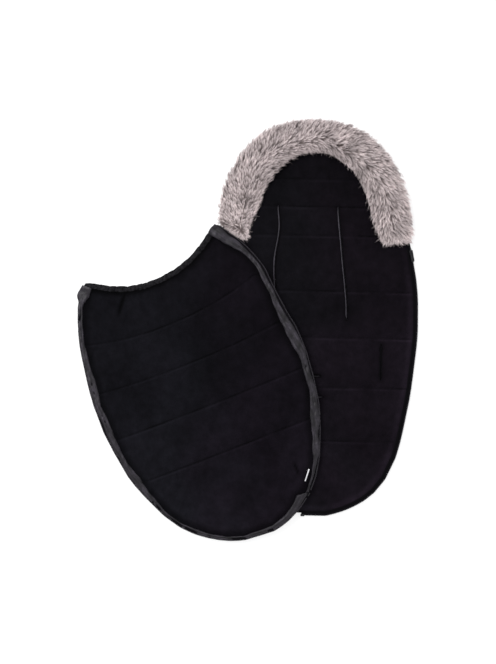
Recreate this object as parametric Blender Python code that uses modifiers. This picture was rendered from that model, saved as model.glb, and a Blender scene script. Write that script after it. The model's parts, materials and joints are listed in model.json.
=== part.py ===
"""Stroller footmuff: a padded liner with a fur hood edge, and its zip-off cover laid open on it.

The liner lies flat with its head end towards +Y. The cover lies inner side up, turned
anticlockwise, half on the liner and half beside it.
"""
import math

import bmesh
import bpy
from mathutils import Matrix, Vector

# Liner body, without the zip
LINER_HALF_WIDTH = 0.244
LINER_HALF_LENGTH = 0.459
# Cover body, without the zip
COVER_HALF_WIDTH = 0.254
COVER_HALF_LENGTH = 0.354
COVER_NECK_DIP = 0.062
COVER_NECK_SKEW = 0.007
# Layers of a padded panel
CREST_HEIGHT = 0.018
EDGE_LOW = 0.006
EDGE_HIGH = 0.011
SHELL_THICKNESS = 0.0012
FLEECE_THICKNESS = 0.0022
LAYER_GAP = 0.0003
EDGE_ROUNDING = 0.036
# Zip chain round both panels
PIPING_RADIUS = 0.0025
TAPE_WIDTH = 0.0040
TAPE_THICKNESS = 0.0008
COIL_RADIUS = 0.0011
FIT_GAP = 0.0003
ZIP_STOP_LENGTH = 0.009
ZIP_STOP_WIDTH = 0.006
ZIP_STOP_HEIGHT = 0.0035
# Guard strip inside the cover's zip
STRIP_WIDTH = 0.020
STRIP_THICKNESS = 0.0010
STRIP_LIFT = 0.0011
STRIP_JOINT_GAP = 0.0050
# Elastic casing at the cover's neck
CASING_WIDTH = 0.013
CASING_PLY = 0.0008
ELASTIC_WIDTH = 0.0085
ELASTIC_THICKNESS = 0.0016
# Fur edge of the hood
FUR_HEIGHT = 0.034
FUR_PRESSED_HEIGHT = 0.0178
FUR_PRESS_MARGIN = 0.030
FUR_RIM = 0.006
BACKING_THICKNESS = 0.0009
BACKING_CLEARANCE = 0.0005
# Strap slots through the liner
SLOT_CUT_WIDTH = 0.0140
BINDING_THICKNESS = 0.0012
BINDING_RISE = 0.0006
SLOT_FLAT_REACH = 0.010
SLOT_FADE = 0.022
HARNESS_SLOT_LENGTH = 0.274
LAP_SLOT_LENGTH = 0.087
CROTCH_UPPER_LENGTH = 0.050
CROTCH_LOWER_LENGTH = 0.066
# Zip sliders and pullers
SLIDER_LENGTH = 0.0110
SLIDER_WIDTH = 0.0080
SLIDER_PLATE = 0.0008
SLIDER_WALL = 0.0014
SLIDER_CLEARANCE = 0.0004
STOP_CORNER = 0.0006
BAIL_RADIUS = 0.0005
BAIL_SINK = 0.0003
PULLER_LENGTH = 0.024
PULLER_WIDTH = 0.0070
PULLER_THICKNESS = 0.0012
PULLER_EYE_WIDTH = 0.0034
PULLER_EYE_LENGTH = 0.0040
PULLER_BAR = 0.0014
# How the cover lies on the liner
COVER_X = -0.2520
COVER_Y = -0.1875
COVER_TURN = math.radians(22.55)
LAY_GAP = 0.0005
DRAPE_MARGIN = 0.014
DRAPE_RUN = 0.190
# Care label in the cover's seam
LABEL_LENGTH = 0.030
LABEL_WIDTH = 0.006
LABEL_THICKNESS = 0.0008
LABEL_LIFT = 0.0008
LABEL_GAP = 0.0012
# One overrun for every cut, and how near two points of a cap are the same
CUT_OVERRUN = 0.004
WELD_DISTANCE = 0.000001
# Counts of steps along curves and arcs
EDGE_STEPS = 4
FUR_STATIONS = 26
SLOT_ARC_STEPS = 5
PULLER_ARC_STEPS = 8
LABEL_STEPS = 4

# Outlines as shares of half width and half length, foot end first
liner_edge_shares = (
    (0.17, -1.0), (0.275, -0.985), (0.385, -0.963), (0.495, -0.932), (0.595, -0.893),
    (0.685, -0.836), (0.766, -0.771), (0.836, -0.658), (0.893, -0.519), (0.934, -0.399),
    (0.959, -0.296), (0.984, -0.172), (1.0, -0.068), (1.0, 0.033), (0.992, 0.147),
    (0.955, 0.294), (0.91, 0.403), (0.877, 0.475), (0.848, 0.577), (0.811, 0.68),
    (0.721, 0.802), (0.578, 0.911), (0.44, 0.963), (0.30, 0.988), (0.17, 1.0),
)
cover_edge_shares = (
    (0.14, -1.0), (0.235, -0.982), (0.33, -0.95), (0.445, -0.898), (0.566, -0.828), (0.68, -0.734),
    (0.758, -0.639), (0.811, -0.557), (0.879, -0.421), (0.94, -0.283), (0.972, -0.144),
    (0.993, 0.0), (1.0, 0.138), (0.973, 0.277), (0.949, 0.415), (0.92, 0.551),
    (0.891, 0.661), (0.855, 0.766), (0.818, 0.838), (0.781, 0.903), (0.73, 0.96),
    (0.664, 1.0),
)
# Sewn channels across the panels, as shares of half length
liner_seam_shares = (-0.63, -0.349, -0.087, 0.157, 0.447, 0.597, 0.741)
cover_seam_shares = (-0.39, -0.051, 0.291, 0.636)
# Mesh rows inside each stretch between seams, and mesh columns across
channel_row_shares = (0.22, 0.78)
liner_foot_row_shares = (0.012, 0.035, 0.075, 0.13, 0.21, 0.32, 0.5, 0.8)
liner_head_row_shares = (0.25, 0.55, 0.75, 0.88, 0.965)
cover_foot_row_shares = (0.02, 0.055, 0.11, 0.18, 0.27, 0.4, 0.58, 0.85)
cover_neck_row_shares = (0.2, 0.45, 0.68, 0.88)
liner_column_shares = (0.2, 0.355, 0.5, 0.69, 0.92, 1.0)
cover_column_shares = (0.25, 0.5, 0.74, 0.92, 1.0)
CHANNEL_DEPTH_SHARE = 0.86
NECK_DIP_START_SHARE = -0.39
NECK_DIP_RISE_SHARE = 2.2
# Fur band, right half, as shares of the liner's half width and half length
fur_outer_shares = (
    (0.0, 1.046), (0.232, 1.035), (0.46, 0.992), (0.66, 0.909), (0.805, 0.802),
    (0.905, 0.684), (0.95, 0.57), (0.975, 0.475), (0.94, 0.401),
)
fur_inner_shares = (
    (0.0, 0.878), (0.215, 0.847), (0.40, 0.765), (0.51, 0.655), (0.565, 0.557),
    (0.62, 0.485), (0.665, 0.44), (0.72, 0.41), (0.76, 0.401),
)
FUR_LEFT_OUTER_END_SHARE = (-0.95, 0.497)
FUR_LEFT_INNER_END_SHARE = (-0.66, 0.417)
FUR_PRESS_SHARE = 0.20
FUR_CROWN_SHARES = (0.0, 0.14, 0.34, 0.58, 0.82, 1.0)
BACKING_SPAN_SHARES = (0.10, 0.66)
# Slot places as shares of the liner's half width and half length
harness_left_shares = ((-0.352, 0.601), (-0.357, 0.004))
harness_right_shares = ((0.238, 0.599), (0.344, 0.004))
LAP_SLOT_X_SHARE = 0.69
LAP_SLOT_Y_SHARE = -0.212
CROTCH_UPPER_Y_SHARE = -0.292
CROTCH_LOWER_Y_SHARE = -0.401
# Where the zips begin and end, as shares
ZIP_HEAD_SHARE = 0.40
ZIP_RIGHT_FOOT_X_SHARE = -0.02
ZIP_LEFT_FOOT_SHARE = -0.932
COVER_JOINT_SHARE = -0.84
SLIDER_PARK_SHARE = 0.36
LABEL_Y_SHARE = -0.80


def clear_scene():
    """Remove every object, so that the model starts alone."""
    for thing in list(bpy.data.objects):
        bpy.data.objects.remove(thing, do_unlink=True)


def new_collection(name):
    """A collection under the scene's own."""
    group = bpy.data.collections.new(name)
    bpy.context.scene.collection.children.link(group)
    return group


def material(name, colour, roughness, metallic):
    """A plain finish with the colour that the piece shows."""
    look = bpy.data.materials.new(name)
    look.use_nodes = True
    shader = look.node_tree.nodes["Principled BSDF"]
    shader.inputs["Base Color"].default_value = (*colour, 1.0)
    shader.inputs["Roughness"].default_value = roughness
    shader.inputs["Metallic"].default_value = metallic
    return look


def spline_through(points, steps):
    """Points of a smooth line through the given ones, with steps to each stretch."""
    padded = [points[0], *points, points[-1]]
    line = []
    for i in range(len(points) - 1):
        a, b, c, d = (Vector(p) for p in padded[i:i + 4])
        for k in range(steps):
            t = k / steps
            line.append(0.5 * (2 * b + (c - a) * t + (2 * a - 5 * b + 4 * c - d) * t ** 2
                               + (3 * b - a - 3 * c + d) * t ** 3))
    line.append(Vector(points[-1]))
    return line


def share_at(line, y_share):
    """Width share of an edge line at a length share."""
    for low, high in zip(line, line[1:]):
        if y_share <= high.y:
            k = max(0.0, (y_share - low.y) / (high.y - low.y))
            return low.x + k * (high.x - low.x)
    return line[-1].x


def row_places(seams, foot_rows, head_rows):
    """Length shares of all mesh rows: ends, seams and the rows between them."""
    stops = (-1.0, *seams, 1.0)
    rows = []
    for i, (low, high) in enumerate(zip(stops, stops[1:])):
        inner = channel_row_shares
        if i == 0:
            inner = foot_rows
        if i == len(stops) - 2:
            inner = head_rows
        rows.append(low)
        rows.extend(low + k * (high - low) for k in inner)
    rows.append(1.0)
    return rows


def both_sides(shares):
    """Column shares from left to right, with the middle."""
    return [-s for s in reversed(shares)] + [0.0] + list(shares)


class Panel:
    """One padded panel: its edge, its sewn channels and its heights."""

    def __init__(self, half_width, half_length, edge_shares, seams, rows, columns):
        self.half_width = half_width
        self.half_length = half_length
        self.edge_line = spline_through(edge_shares, EDGE_STEPS)
        self.seams = seams
        self.rows = rows
        self.columns = columns
        self.neck_dip = 0.0
        self.neck_skew = 0.0
        self.slots = []
        self.pressed = []
        self.edge = self.boundary()

    def shape_neck(self, dip, skew):
        """Hollow the head end by a dip and slant it by a skew."""
        self.neck_dip = dip
        self.neck_skew = skew
        self.edge = self.boundary()

    def place(self, column, row):
        """Point of the panel at a column and a row share."""
        x = column * self.half_width * share_at(self.edge_line, row)
        rise = max(0.0, (row - NECK_DIP_START_SHARE) / (1.0 - NECK_DIP_START_SHARE))
        hollow = self.neck_dip * (1.0 - abs(column) ** NECK_DIP_RISE_SHARE)
        drop = (hollow - self.neck_skew * column) * rise ** NECK_DIP_RISE_SHARE
        return Vector((x, row * self.half_length - drop))

    def boundary(self):
        """Edge points in order: foot left to right, right side up, neck, left side down."""
        foot = [self.place(c, self.rows[0]) for c in self.columns]
        right = [self.place(1.0, r) for r in self.rows[1:]]
        neck = [self.place(c, self.rows[-1]) for c in reversed(self.columns[:-1])]
        left = [self.place(-1.0, r) for r in reversed(self.rows[1:-1])]
        return foot + right + neck + left

    def edge_distance(self, point):
        """Distance to the panel's edge, positive inside it."""
        nearest = math.inf
        inside = False
        for a, b in zip(self.edge, self.edge[1:] + self.edge[:1]):
            along = b - a
            k = min(1.0, max(0.0, (point - a).dot(along) / along.length_squared))
            nearest = min(nearest, (point - a - along * k).length)
            if (a.y > point.y) != (b.y > point.y):
                if point.x < a.x + along.x * (point.y - a.y) / along.y:
                    inside = not inside
        return nearest if inside else -nearest

    def rounding(self, point):
        """From 0 at the edge to 1 where the panel is full."""
        depth = max(0.0, self.edge_distance(point))
        return math.sin(0.5 * math.pi * min(1.0, depth / EDGE_ROUNDING))

    def fullness(self, point, row):
        """From near 0 in a sewn channel or by a slot to 1 on a crest."""
        stops = (-1.0 - abs(self.seams[0] + 1.0), *self.seams, 2.0)
        full = 1.0
        for low, high in zip(stops, stops[1:]):
            if low <= row <= high:
                k = (row - low) / (high - low)
                full = abs(math.sin(math.pi * k)) ** 0.6
        full = 1.0 - CHANNEL_DEPTH_SHARE * (1.0 - full)
        for start, end in self.slots:
            along = end - start
            k = min(1.0, max(0.0, (point - start).dot(along) / along.length_squared))
            away = (point - start - along * k).length
            ease = min(1.0, max(0.0, (away - SLOT_FLAT_REACH) / SLOT_FADE))
            full = min(full, 1.0 - CHANNEL_DEPTH_SHARE * (1.0 - ease))
        for path, reach in self.pressed:
            away = min((point - p).length for p in path)
            ease = min(1.0, max(0.0, (away - reach) / SLOT_FADE))
            full = min(full, 1.0 - CHANNEL_DEPTH_SHARE * (1.0 - ease))
        return full

    def underside(self, point):
        """Height of the lowest face, raised at the sewn edge."""
        return EDGE_LOW * (1.0 - self.rounding(point))

    def crest(self, point):
        """Height that the upper face has between its channels."""
        return EDGE_HIGH + (CREST_HEIGHT - EDGE_HIGH) * self.rounding(point)

    def upper_face(self, point, row):
        """Height of the upper face, channels included."""
        swell = (CREST_HEIGHT - EDGE_HIGH) * self.rounding(point)
        return EDGE_HIGH + swell * self.fullness(point, row)


def make_panels():
    """The two panels, with the liner's slots and the band that the fur presses down."""
    liner_rows = row_places(liner_seam_shares, liner_foot_row_shares, liner_head_row_shares)
    cover_rows = row_places(cover_seam_shares, cover_foot_row_shares, cover_neck_row_shares)
    liner = Panel(LINER_HALF_WIDTH, LINER_HALF_LENGTH, liner_edge_shares, liner_seam_shares,
                  liner_rows, both_sides(liner_column_shares))
    cover = Panel(COVER_HALF_WIDTH, COVER_HALF_LENGTH, cover_edge_shares, cover_seam_shares,
                  cover_rows, both_sides(cover_column_shares))
    cover.shape_neck(COVER_NECK_DIP, COVER_NECK_SKEW)
    liner.slots = [(start, end) for _, start, end in slot_lines()]
    inner, outer = fur_edges()
    middle = [0.5 * (a + b) for a, b in zip(inner, outer)]
    reach = 0.5 * (outer[len(outer) // 2] - inner[len(inner) // 2]).length + FUR_PRESS_MARGIN
    liner.pressed = [(middle, reach)]
    return liner, cover


def liner_point(x_share, y_share):
    """Point on the liner from shares of its half sizes."""
    return Vector((x_share * LINER_HALF_WIDTH, y_share * LINER_HALF_LENGTH))


def slot_lines():
    """Name and end points of each strap slot's middle line."""
    half_lap = 0.5 * LAP_SLOT_LENGTH
    half_upper = 0.5 * CROTCH_UPPER_LENGTH
    half_lower = 0.5 * CROTCH_LOWER_LENGTH
    lines = []
    for side, shares in (("left", harness_left_shares), ("right", harness_right_shares)):
        head, foot = (liner_point(*s) for s in shares)
        end = head + (foot - head).normalized() * HARNESS_SLOT_LENGTH
        lines.append(("harness_slot_binding_" + side, head, end))
    for side, sign in (("left", -1.0), ("right", 1.0)):
        middle = liner_point(sign * LAP_SLOT_X_SHARE, LAP_SLOT_Y_SHARE)
        lines.append(("lap_slot_binding_" + side, middle + Vector((0.0, half_lap)),
                      middle - Vector((0.0, half_lap))))
    for name, y_share, half in (("upper", CROTCH_UPPER_Y_SHARE, half_upper),
                                ("lower", CROTCH_LOWER_Y_SHARE, half_lower)):
        middle = liner_point(0.0, y_share)
        lines.append(("crotch_slot_binding_" + name, middle - Vector((half, 0.0)),
                      middle + Vector((half, 0.0))))
    return lines


def fur_edges():
    """Inner and outer edge of the fur band, from its left end over the head to its right."""
    sides = []
    for shares, left_end in ((fur_inner_shares, FUR_LEFT_INNER_END_SHARE),
                             (fur_outer_shares, FUR_LEFT_OUTER_END_SHARE)):
        left = [(-x, y) for x, y in reversed(shares[1:]) if y > left_end[1]]
        smooth = spline_through([left_end, *left, *shares], EDGE_STEPS)
        sides.append([liner_point(*p) for p in even_points(smooth, FUR_STATIONS)])
    return sides


def even_points(line, count):
    """The given number of stretches along a line, all of one length."""
    lengths = [0.0]
    for a, b in zip(line, line[1:]):
        lengths.append(lengths[-1] + (b - a).length)
    points = []
    j = 0
    for i in range(count + 1):
        goal = lengths[-1] * i / count
        while j < len(line) - 2 and lengths[j + 1] < goal:
            j += 1
        span = lengths[j + 1] - lengths[j]
        points.append(line[j].lerp(line[j + 1], min(1.0, (goal - lengths[j]) / span)))
    return points


def cover_to_liner(point):
    """A point of the cover in the liner's frame."""
    turned = Matrix.Rotation(COVER_TURN, 2) @ point
    return turned + Vector((COVER_X, COVER_Y))


def drape(point, liner):
    """How far a point of the cover is lifted by the liner below it."""
    away = -liner.edge_distance(cover_to_liner(point)) - DRAPE_MARGIN
    k = min(1.0, max(0.0, 1.0 - away / DRAPE_RUN))
    return (CREST_HEIGHT + LAY_GAP) * k * k * (3.0 - 2.0 * k)


def slab(name, columns, rows, place, look, group):
    """A closed sheet on a grid; place gives x, y, low and high for two grid shares."""
    shape = bmesh.new()
    bmesh.ops.create_grid(shape, x_segments=columns, y_segments=rows, size=0.5)
    spots = {}
    for vert in shape.verts:
        i = round((vert.co.x + 0.5) * columns)
        j = round((vert.co.y + 0.5) * rows)
        spots[vert.index] = (i, j)
    bmesh.ops.triangulate(shape, faces=shape.faces[:], quad_method="FIXED")
    shape.verts.ensure_lookup_table()
    heights = {}
    for vert in shape.verts:
        x, y, low, high = place(*spots[vert.index])
        vert.co = (x, y, high)
        heights[(x, y)] = low
    raised = bmesh.ops.extrude_face_region(shape, geom=shape.faces[:])
    for vert in (g for g in raised["geom"] if isinstance(g, bmesh.types.BMVert)):
        x, y = vert.co.x, vert.co.y
        nearest = heights.get((x, y))
        if nearest is None:
            nearest = min(heights.items(), key=lambda h: (h[0][0] - x) ** 2 + (h[0][1] - y) ** 2)[1]
        vert.co.z = nearest
    bmesh.ops.recalc_face_normals(shape, faces=shape.faces[:])
    return finish(name, shape, look, group)


def finish(name, shape, look, group):
    """Turn a built shape into a smooth-shaded object in its collection."""
    mesh = bpy.data.meshes.new(name)
    shape.to_mesh(mesh)
    shape.free()
    mesh.shade_smooth()
    mesh.set_sharp_from_angle(angle=math.radians(40.0))
    mesh.materials.append(look)
    thing = bpy.data.objects.new(name, mesh)
    group.objects.link(thing)
    return thing


def tube(name, points, radius, ring, look, group):
    """A round cord through the points, closed into a ring or capped at its ends."""
    curve = bpy.data.curves.new(name, "CURVE")
    curve.dimensions = "3D"
    curve.bevel_depth = radius
    curve.bevel_resolution = 1
    curve.use_fill_caps = True
    line = curve.splines.new("POLY")
    line.points.add(len(points) - 1)
    for spot, point in zip(line.points, points):
        spot.co = (*point, 1.0)
    line.use_cyclic_u = ring
    curve.materials.append(look)
    thing = bpy.data.objects.new(name, curve)
    group.objects.link(thing)
    return thing


def flat_shape(name, outlines, thickness, look, group):
    """A flat plate from closed outlines; an inner outline is a hole."""
    curve = bpy.data.curves.new(name, "CURVE")
    curve.dimensions = "2D"
    curve.fill_mode = "BOTH"
    curve.extrude = 0.5 * thickness
    for outline in outlines:
        line = curve.splines.new("POLY")
        line.points.add(len(outline) - 1)
        for spot, point in zip(line.points, outline):
            spot.co = (point[0], point[1], 0.0, 1.0)
        line.use_cyclic_u = True
    curve.materials.append(look)
    thing = bpy.data.objects.new(name, curve)
    group.objects.link(thing)
    return thing


def box(name, size, place, look, group):
    """A block with applied scale, on its own mesh."""
    shape = bmesh.new()
    bmesh.ops.create_cube(shape, size=1.0)
    bmesh.ops.scale(shape, vec=size, verts=shape.verts[:])
    thing = finish(name, shape, look, group)
    thing.location = place
    return thing


def cut(thing, cutter):
    """Cut one object with another."""
    change = thing.modifiers.new("cut_" + cutter.name, "BOOLEAN")
    change.operation = "DIFFERENCE"
    change.solver = "EXACT"
    change.object = cutter


def hide_cutter(cutter):
    """Show a cutter as wires only and keep it out of renders."""
    cutter.hide_render = True
    cutter.display_type = "WIRE"


def panel_layers(prefix, panel, lift, looks, group):
    """Shell, wadding and fleece of one panel, on one shared grid."""
    def layer(name, low_of, high_of, look):
        def place(i, j):
            row = panel.rows[j]
            point = panel.place(panel.columns[i], row)
            base = lift(point)
            low = base + low_of(point, row)
            high = base + high_of(point, row)
            return point.x, point.y, low, high
        return slab(prefix + name, len(panel.columns) - 1, len(panel.rows) - 1, place, look, group)

    shell_top = SHELL_THICKNESS
    fleece_low = FLEECE_THICKNESS
    shell = layer("_shell", lambda p, r: panel.underside(p),
                  lambda p, r: panel.underside(p) + shell_top, looks["shell"])
    wadding = layer("_wadding", lambda p, r: panel.underside(p) + shell_top + LAYER_GAP,
                    lambda p, r: panel.upper_face(p, r) - fleece_low - LAYER_GAP, looks["wadding"])
    fleece = layer("_fleece", lambda p, r: panel.upper_face(p, r) - fleece_low,
                   lambda p, r: panel.upper_face(p, r), looks["fleece"])
    return shell, wadding, fleece


def offset_path(points, distance, ring):
    """Points moved out from the panel by a distance, each along its mean normal."""
    moved = []
    count = len(points)
    for i, point in enumerate(points):
        before = points[i - 1] if ring or i else point
        after = points[(i + 1) % count] if ring or i < count - 1 else point
        one = (point - before).normalized() if before != point else (after - point).normalized()
        two = (after - point).normalized() if after != point else one
        turn = (one + two).normalized()
        normal = Vector((turn.y, -turn.x))
        reach = distance / max(0.5, turn.dot(one))
        moved.append(point + normal * reach)
    return moved


def ribbon(name, points, span, heights, columns, look, group):
    """A strip that follows a path, between two distances out from it."""
    near, far = span
    lanes = [offset_path(points, near + (far - near) * k / columns, False)
             for k in range(columns + 1)]

    def place(i, j):
        point = lanes[i][j]
        low, high = heights(point, i / columns)
        return point.x, point.y, low, high
    return slab(name, columns, len(points) - 1, place, look, group)


def stadium(length, width, arc_steps):
    """Outline of a slot: two straight sides and two half circles."""
    half = 0.5 * (length - width)
    radius = 0.5 * width
    outline = []
    for end in (1.0, -1.0):
        for k in range(arc_steps + 1):
            angle = math.pi * k / arc_steps - 0.5 * math.pi
            outline.append((end * (half + radius * math.cos(angle)), end * radius * math.sin(angle)))
    return outline


def slot_pieces(layers, looks, group, cutters):
    """Cut each strap slot through the layers and line it with its sewn binding."""
    cut_height = CREST_HEIGHT + 2.0 * CUT_OVERRUN
    low = LAYER_GAP
    high = sewn_height() + BINDING_RISE
    for name, start, end in slot_lines():
        middle = 0.5 * (start + end)
        along = end - start
        length = along.length
        angle = math.atan2(along.y, along.x)
        outline = stadium(length, SLOT_CUT_WIDTH, SLOT_ARC_STEPS)
        cutter = flat_shape(name + "_cutter", [outline], cut_height, looks["shell"], cutters)
        cutter.location = (middle.x, middle.y, 0.5 * CREST_HEIGHT)
        cutter.rotation_euler.z = angle
        solid = solid_from_curve(cutter, cutters)
        hide_cutter(solid)
        for layer in layers:
            cut(layer, solid)
        outer = stadium(length - 2.0 * FIT_GAP, SLOT_CUT_WIDTH - 2.0 * FIT_GAP, SLOT_ARC_STEPS)
        wall = FIT_GAP + BINDING_THICKNESS
        inner = stadium(length - 2.0 * wall, SLOT_CUT_WIDTH - 2.0 * wall, SLOT_ARC_STEPS)
        lining = flat_shape(name, [outer, inner], high - low, looks["binding"], group)
        lining.location = (middle.x, middle.y, 0.5 * (low + high))
        lining.rotation_euler.z = angle


def solid_from_curve(thing, group):
    """Replace a filled curve by the mesh it shows, with its caps welded."""
    bpy.context.view_layer.update()
    seen = thing.evaluated_get(bpy.context.evaluated_depsgraph_get())
    mesh = bpy.data.meshes.new_from_object(seen)
    shape = bmesh.new()
    shape.from_mesh(mesh)
    bmesh.ops.remove_doubles(shape, verts=shape.verts[:], dist=WELD_DISTANCE)
    bmesh.ops.recalc_face_normals(shape, faces=shape.faces[:])
    shape.to_mesh(mesh)
    shape.free()
    name = thing.name
    solid = bpy.data.objects.new(name + "_solid", mesh)
    solid.matrix_world = thing.matrix_world.copy()
    group.objects.link(solid)
    bpy.data.objects.remove(thing, do_unlink=True)
    solid.name = name
    return solid


def zip_line(panel, first, last):
    """Edge points between two places on the ring of edge points."""
    points = panel.edge
    count = len(points)
    start = min(range(count), key=lambda i: (points[i] - first).length)
    stop = min(range(count), key=lambda i: (points[i] - last).length)
    line = []
    i = start
    while i != stop:
        line.append(points[i])
        i = (i + 1) % count
    line.append(points[stop])
    return line


def sewn_height():
    """Height of a panel's upper face where sewing draws it down."""
    return EDGE_HIGH + (1.0 - CHANNEL_DEPTH_SHARE) * (CREST_HEIGHT - EDGE_HIGH)


def shortened(line, length):
    """A line without its last stretch of the given length."""
    last = line[-1] - line[-2]
    return line[:-1] + [line[-1] - last * min(0.9, length / last.length)]


def edge_mid_height():
    """Height of the middle of a panel's sewn edge."""
    return 0.5 * (EDGE_LOW + EDGE_HIGH)


def tape_start():
    """Distance from the panel to the inner edge of the zip tape."""
    return 2.0 * PIPING_RADIUS + 2.0 * FIT_GAP


def coil_reach():
    """Distance from the panel to the middle of the zip coil."""
    return tape_start() + TAPE_WIDTH + FIT_GAP + COIL_RADIUS


def zip_half(prefix, side, line, lift, looks, group):
    """Tape and coil of one zip, along one edge line; gives the coil's path."""
    middle = edge_mid_height()
    half = 0.5 * TAPE_THICKNESS

    def heights(point, share):
        base = lift(point) + middle
        return base - half, base + half
    span = (tape_start(), tape_start() + TAPE_WIDTH)
    ribbon(prefix + "_zip_tape_" + side, line, span, heights, 1, looks["tape"], group)
    path = [(p.x, p.y, lift(p) + middle) for p in offset_path(line, coil_reach(), False)]
    tube(prefix + "_zip_coil_" + side, path, COIL_RADIUS, False, looks["coil"], group)
    return path


def piping(prefix, line, ring, lift, looks, group):
    """Round bound edge just outside the layers."""
    path = [(p.x, p.y, lift(p) + edge_mid_height())
            for p in offset_path(line, PIPING_RADIUS + FIT_GAP, ring)]
    return tube(prefix + "_piping", path, PIPING_RADIUS, ring, looks["binding"], group)


def zip_stop(name, path, looks, group):
    """Small block at the foot end of a zip, in line with its coil."""
    end, before = Vector(path[0]), Vector(path[1])
    along = (end - before).normalized()
    place = end + along * (FIT_GAP + 0.5 * ZIP_STOP_LENGTH)
    block = box(name, (ZIP_STOP_LENGTH, ZIP_STOP_WIDTH, ZIP_STOP_HEIGHT), place, looks["coil"], group)
    block.rotation_euler.z = math.atan2(along.y, along.x)
    soften = block.modifiers.new("edges", "BEVEL")
    soften.width = STOP_CORNER
    soften.segments = 1


def fur_pieces(liner, looks, group):
    """Backing band and fur crown round the head of the liner."""
    inner, outer = fur_edges()
    rows = len(inner) - 1
    seat = sewn_height()

    def backing(i, j):
        share = BACKING_SPAN_SHARES[0] + i / 2.0 * (BACKING_SPAN_SHARES[1] - BACKING_SPAN_SHARES[0])
        point = inner[j].lerp(outer[j], share)
        low = seat + BACKING_CLEARANCE
        return point.x, point.y, low, low + BACKING_THICKNESS
    slab("fur_backing", 2, rows, backing, looks["binding"], group)
    low = seat + BACKING_CLEARANCE + BACKING_THICKNESS + FIT_GAP

    def crown(i, j):
        share = FUR_CROWN_SHARES[i]
        point = inner[j].lerp(outer[j], share)
        top = FUR_HEIGHT
        left_share = j / rows
        if left_share < FUR_PRESS_SHARE:
            k = left_share / FUR_PRESS_SHARE
            top = FUR_PRESSED_HEIGHT + (FUR_HEIGHT - FUR_PRESSED_HEIGHT) * k * k * (3.0 - 2.0 * k)
        ends = min(1.0, (rows - j) / 2.0)
        swell = math.sin(math.pi * min(1.0, max(0.0, share))) ** 0.5
        rim = low + FUR_RIM * min(1.0, (top - low) / (FUR_HEIGHT - low))
        high = rim + (top - rim) * swell * (0.5 + 0.5 * ends)
        return point.x, point.y, low, high
    slab("fur_trim", len(FUR_CROWN_SHARES) - 1, rows, crown, looks["fur"], group)


def guard_strip(name, panel, line, lift, looks, group):
    """Satin strip that lies on the fleece along the zip."""
    def heights(point, share):
        base = lift(point) + panel.crest(point) + STRIP_LIFT
        return base, base + STRIP_THICKNESS
    return ribbon(name, line, (-STRIP_WIDTH, 0.0), heights, 2, looks["strip"], group)


def neck_casing(panel, lift, looks, group):
    """Folded casing along the cover's neck, open towards the panel, and its elastic."""
    line = zip_line(panel, panel.place(1.0, 1.0), panel.place(-1.0, 1.0))
    middle = edge_mid_height()
    rise = middle - EDGE_LOW
    section = ((FIT_GAP, -rise), (0.5 * CASING_WIDTH, -rise), (CASING_WIDTH - rise, -rise),
               (CASING_WIDTH, 0.0), (CASING_WIDTH - rise, rise), (0.5 * CASING_WIDTH, rise),
               (FIT_GAP, rise))
    lanes = [offset_path(line, out, False) for out, _ in section]
    shape = bmesh.new()
    columns = len(section) - 1
    rows = len(line) - 1
    bmesh.ops.create_grid(shape, x_segments=columns, y_segments=rows, size=0.5)
    for vert in shape.verts:
        i = round((vert.co.x + 0.5) * columns)
        j = round((vert.co.y + 0.5) * rows)
        point = lanes[i][j]
        vert.co = (point.x, point.y, lift(line[j]) + middle + section[i][1])
    bmesh.ops.recalc_face_normals(shape, faces=shape.faces[:])
    casing = finish("elastic_casing", shape, looks["shell"], group)
    skin = casing.modifiers.new("ply", "SOLIDIFY")
    skin.thickness = CASING_PLY
    skin.offset = 0.0

    def heights(point, share):
        nearest = min(line, key=lambda p: (p - point).length)
        base = lift(nearest) + middle
        return base - 0.5 * ELASTIC_THICKNESS, base + 0.5 * ELASTIC_THICKNESS
    ribbon("elastic_band", line[1:-1], (2.0 * FIT_GAP, 2.0 * FIT_GAP + ELASTIC_WIDTH), heights, 1,
           looks["elastic"], group)


def slider_height():
    """Height of a slider over its two plates."""
    return 2.0 * (COIL_RADIUS + SLIDER_CLEARANCE + SLIDER_PLATE)


def bar_height():
    """Height of the puller's bar over the slider's plate, with room to turn."""
    return 0.5 * math.hypot(PULLER_BAR, PULLER_THICKNESS) + FIT_GAP


def slider_body(name, place, turn, looks, group, cutters):
    """Slider: two plates joined by a wall, with the zip channel between them."""
    channel = slider_height() - 2.0 * SLIDER_PLATE
    thing = box(name, (SLIDER_WIDTH, SLIDER_LENGTH, slider_height()), place, looks["slider"], group)
    thing.rotation_euler.z = turn
    reach = SLIDER_WIDTH - SLIDER_WALL + CUT_OVERRUN
    aside = Matrix.Rotation(turn, 3, "Z") @ Vector((-0.5 * (SLIDER_WALL + CUT_OVERRUN), 0.0, 0.0))
    cutter = box(name + "_channel", (reach, SLIDER_LENGTH + 2.0 * CUT_OVERRUN, channel),
                 Vector(place) + aside, looks["slider"], cutters)
    cutter.rotation_euler.z = turn
    hide_cutter(cutter)
    cut(thing, cutter)
    return thing


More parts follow.
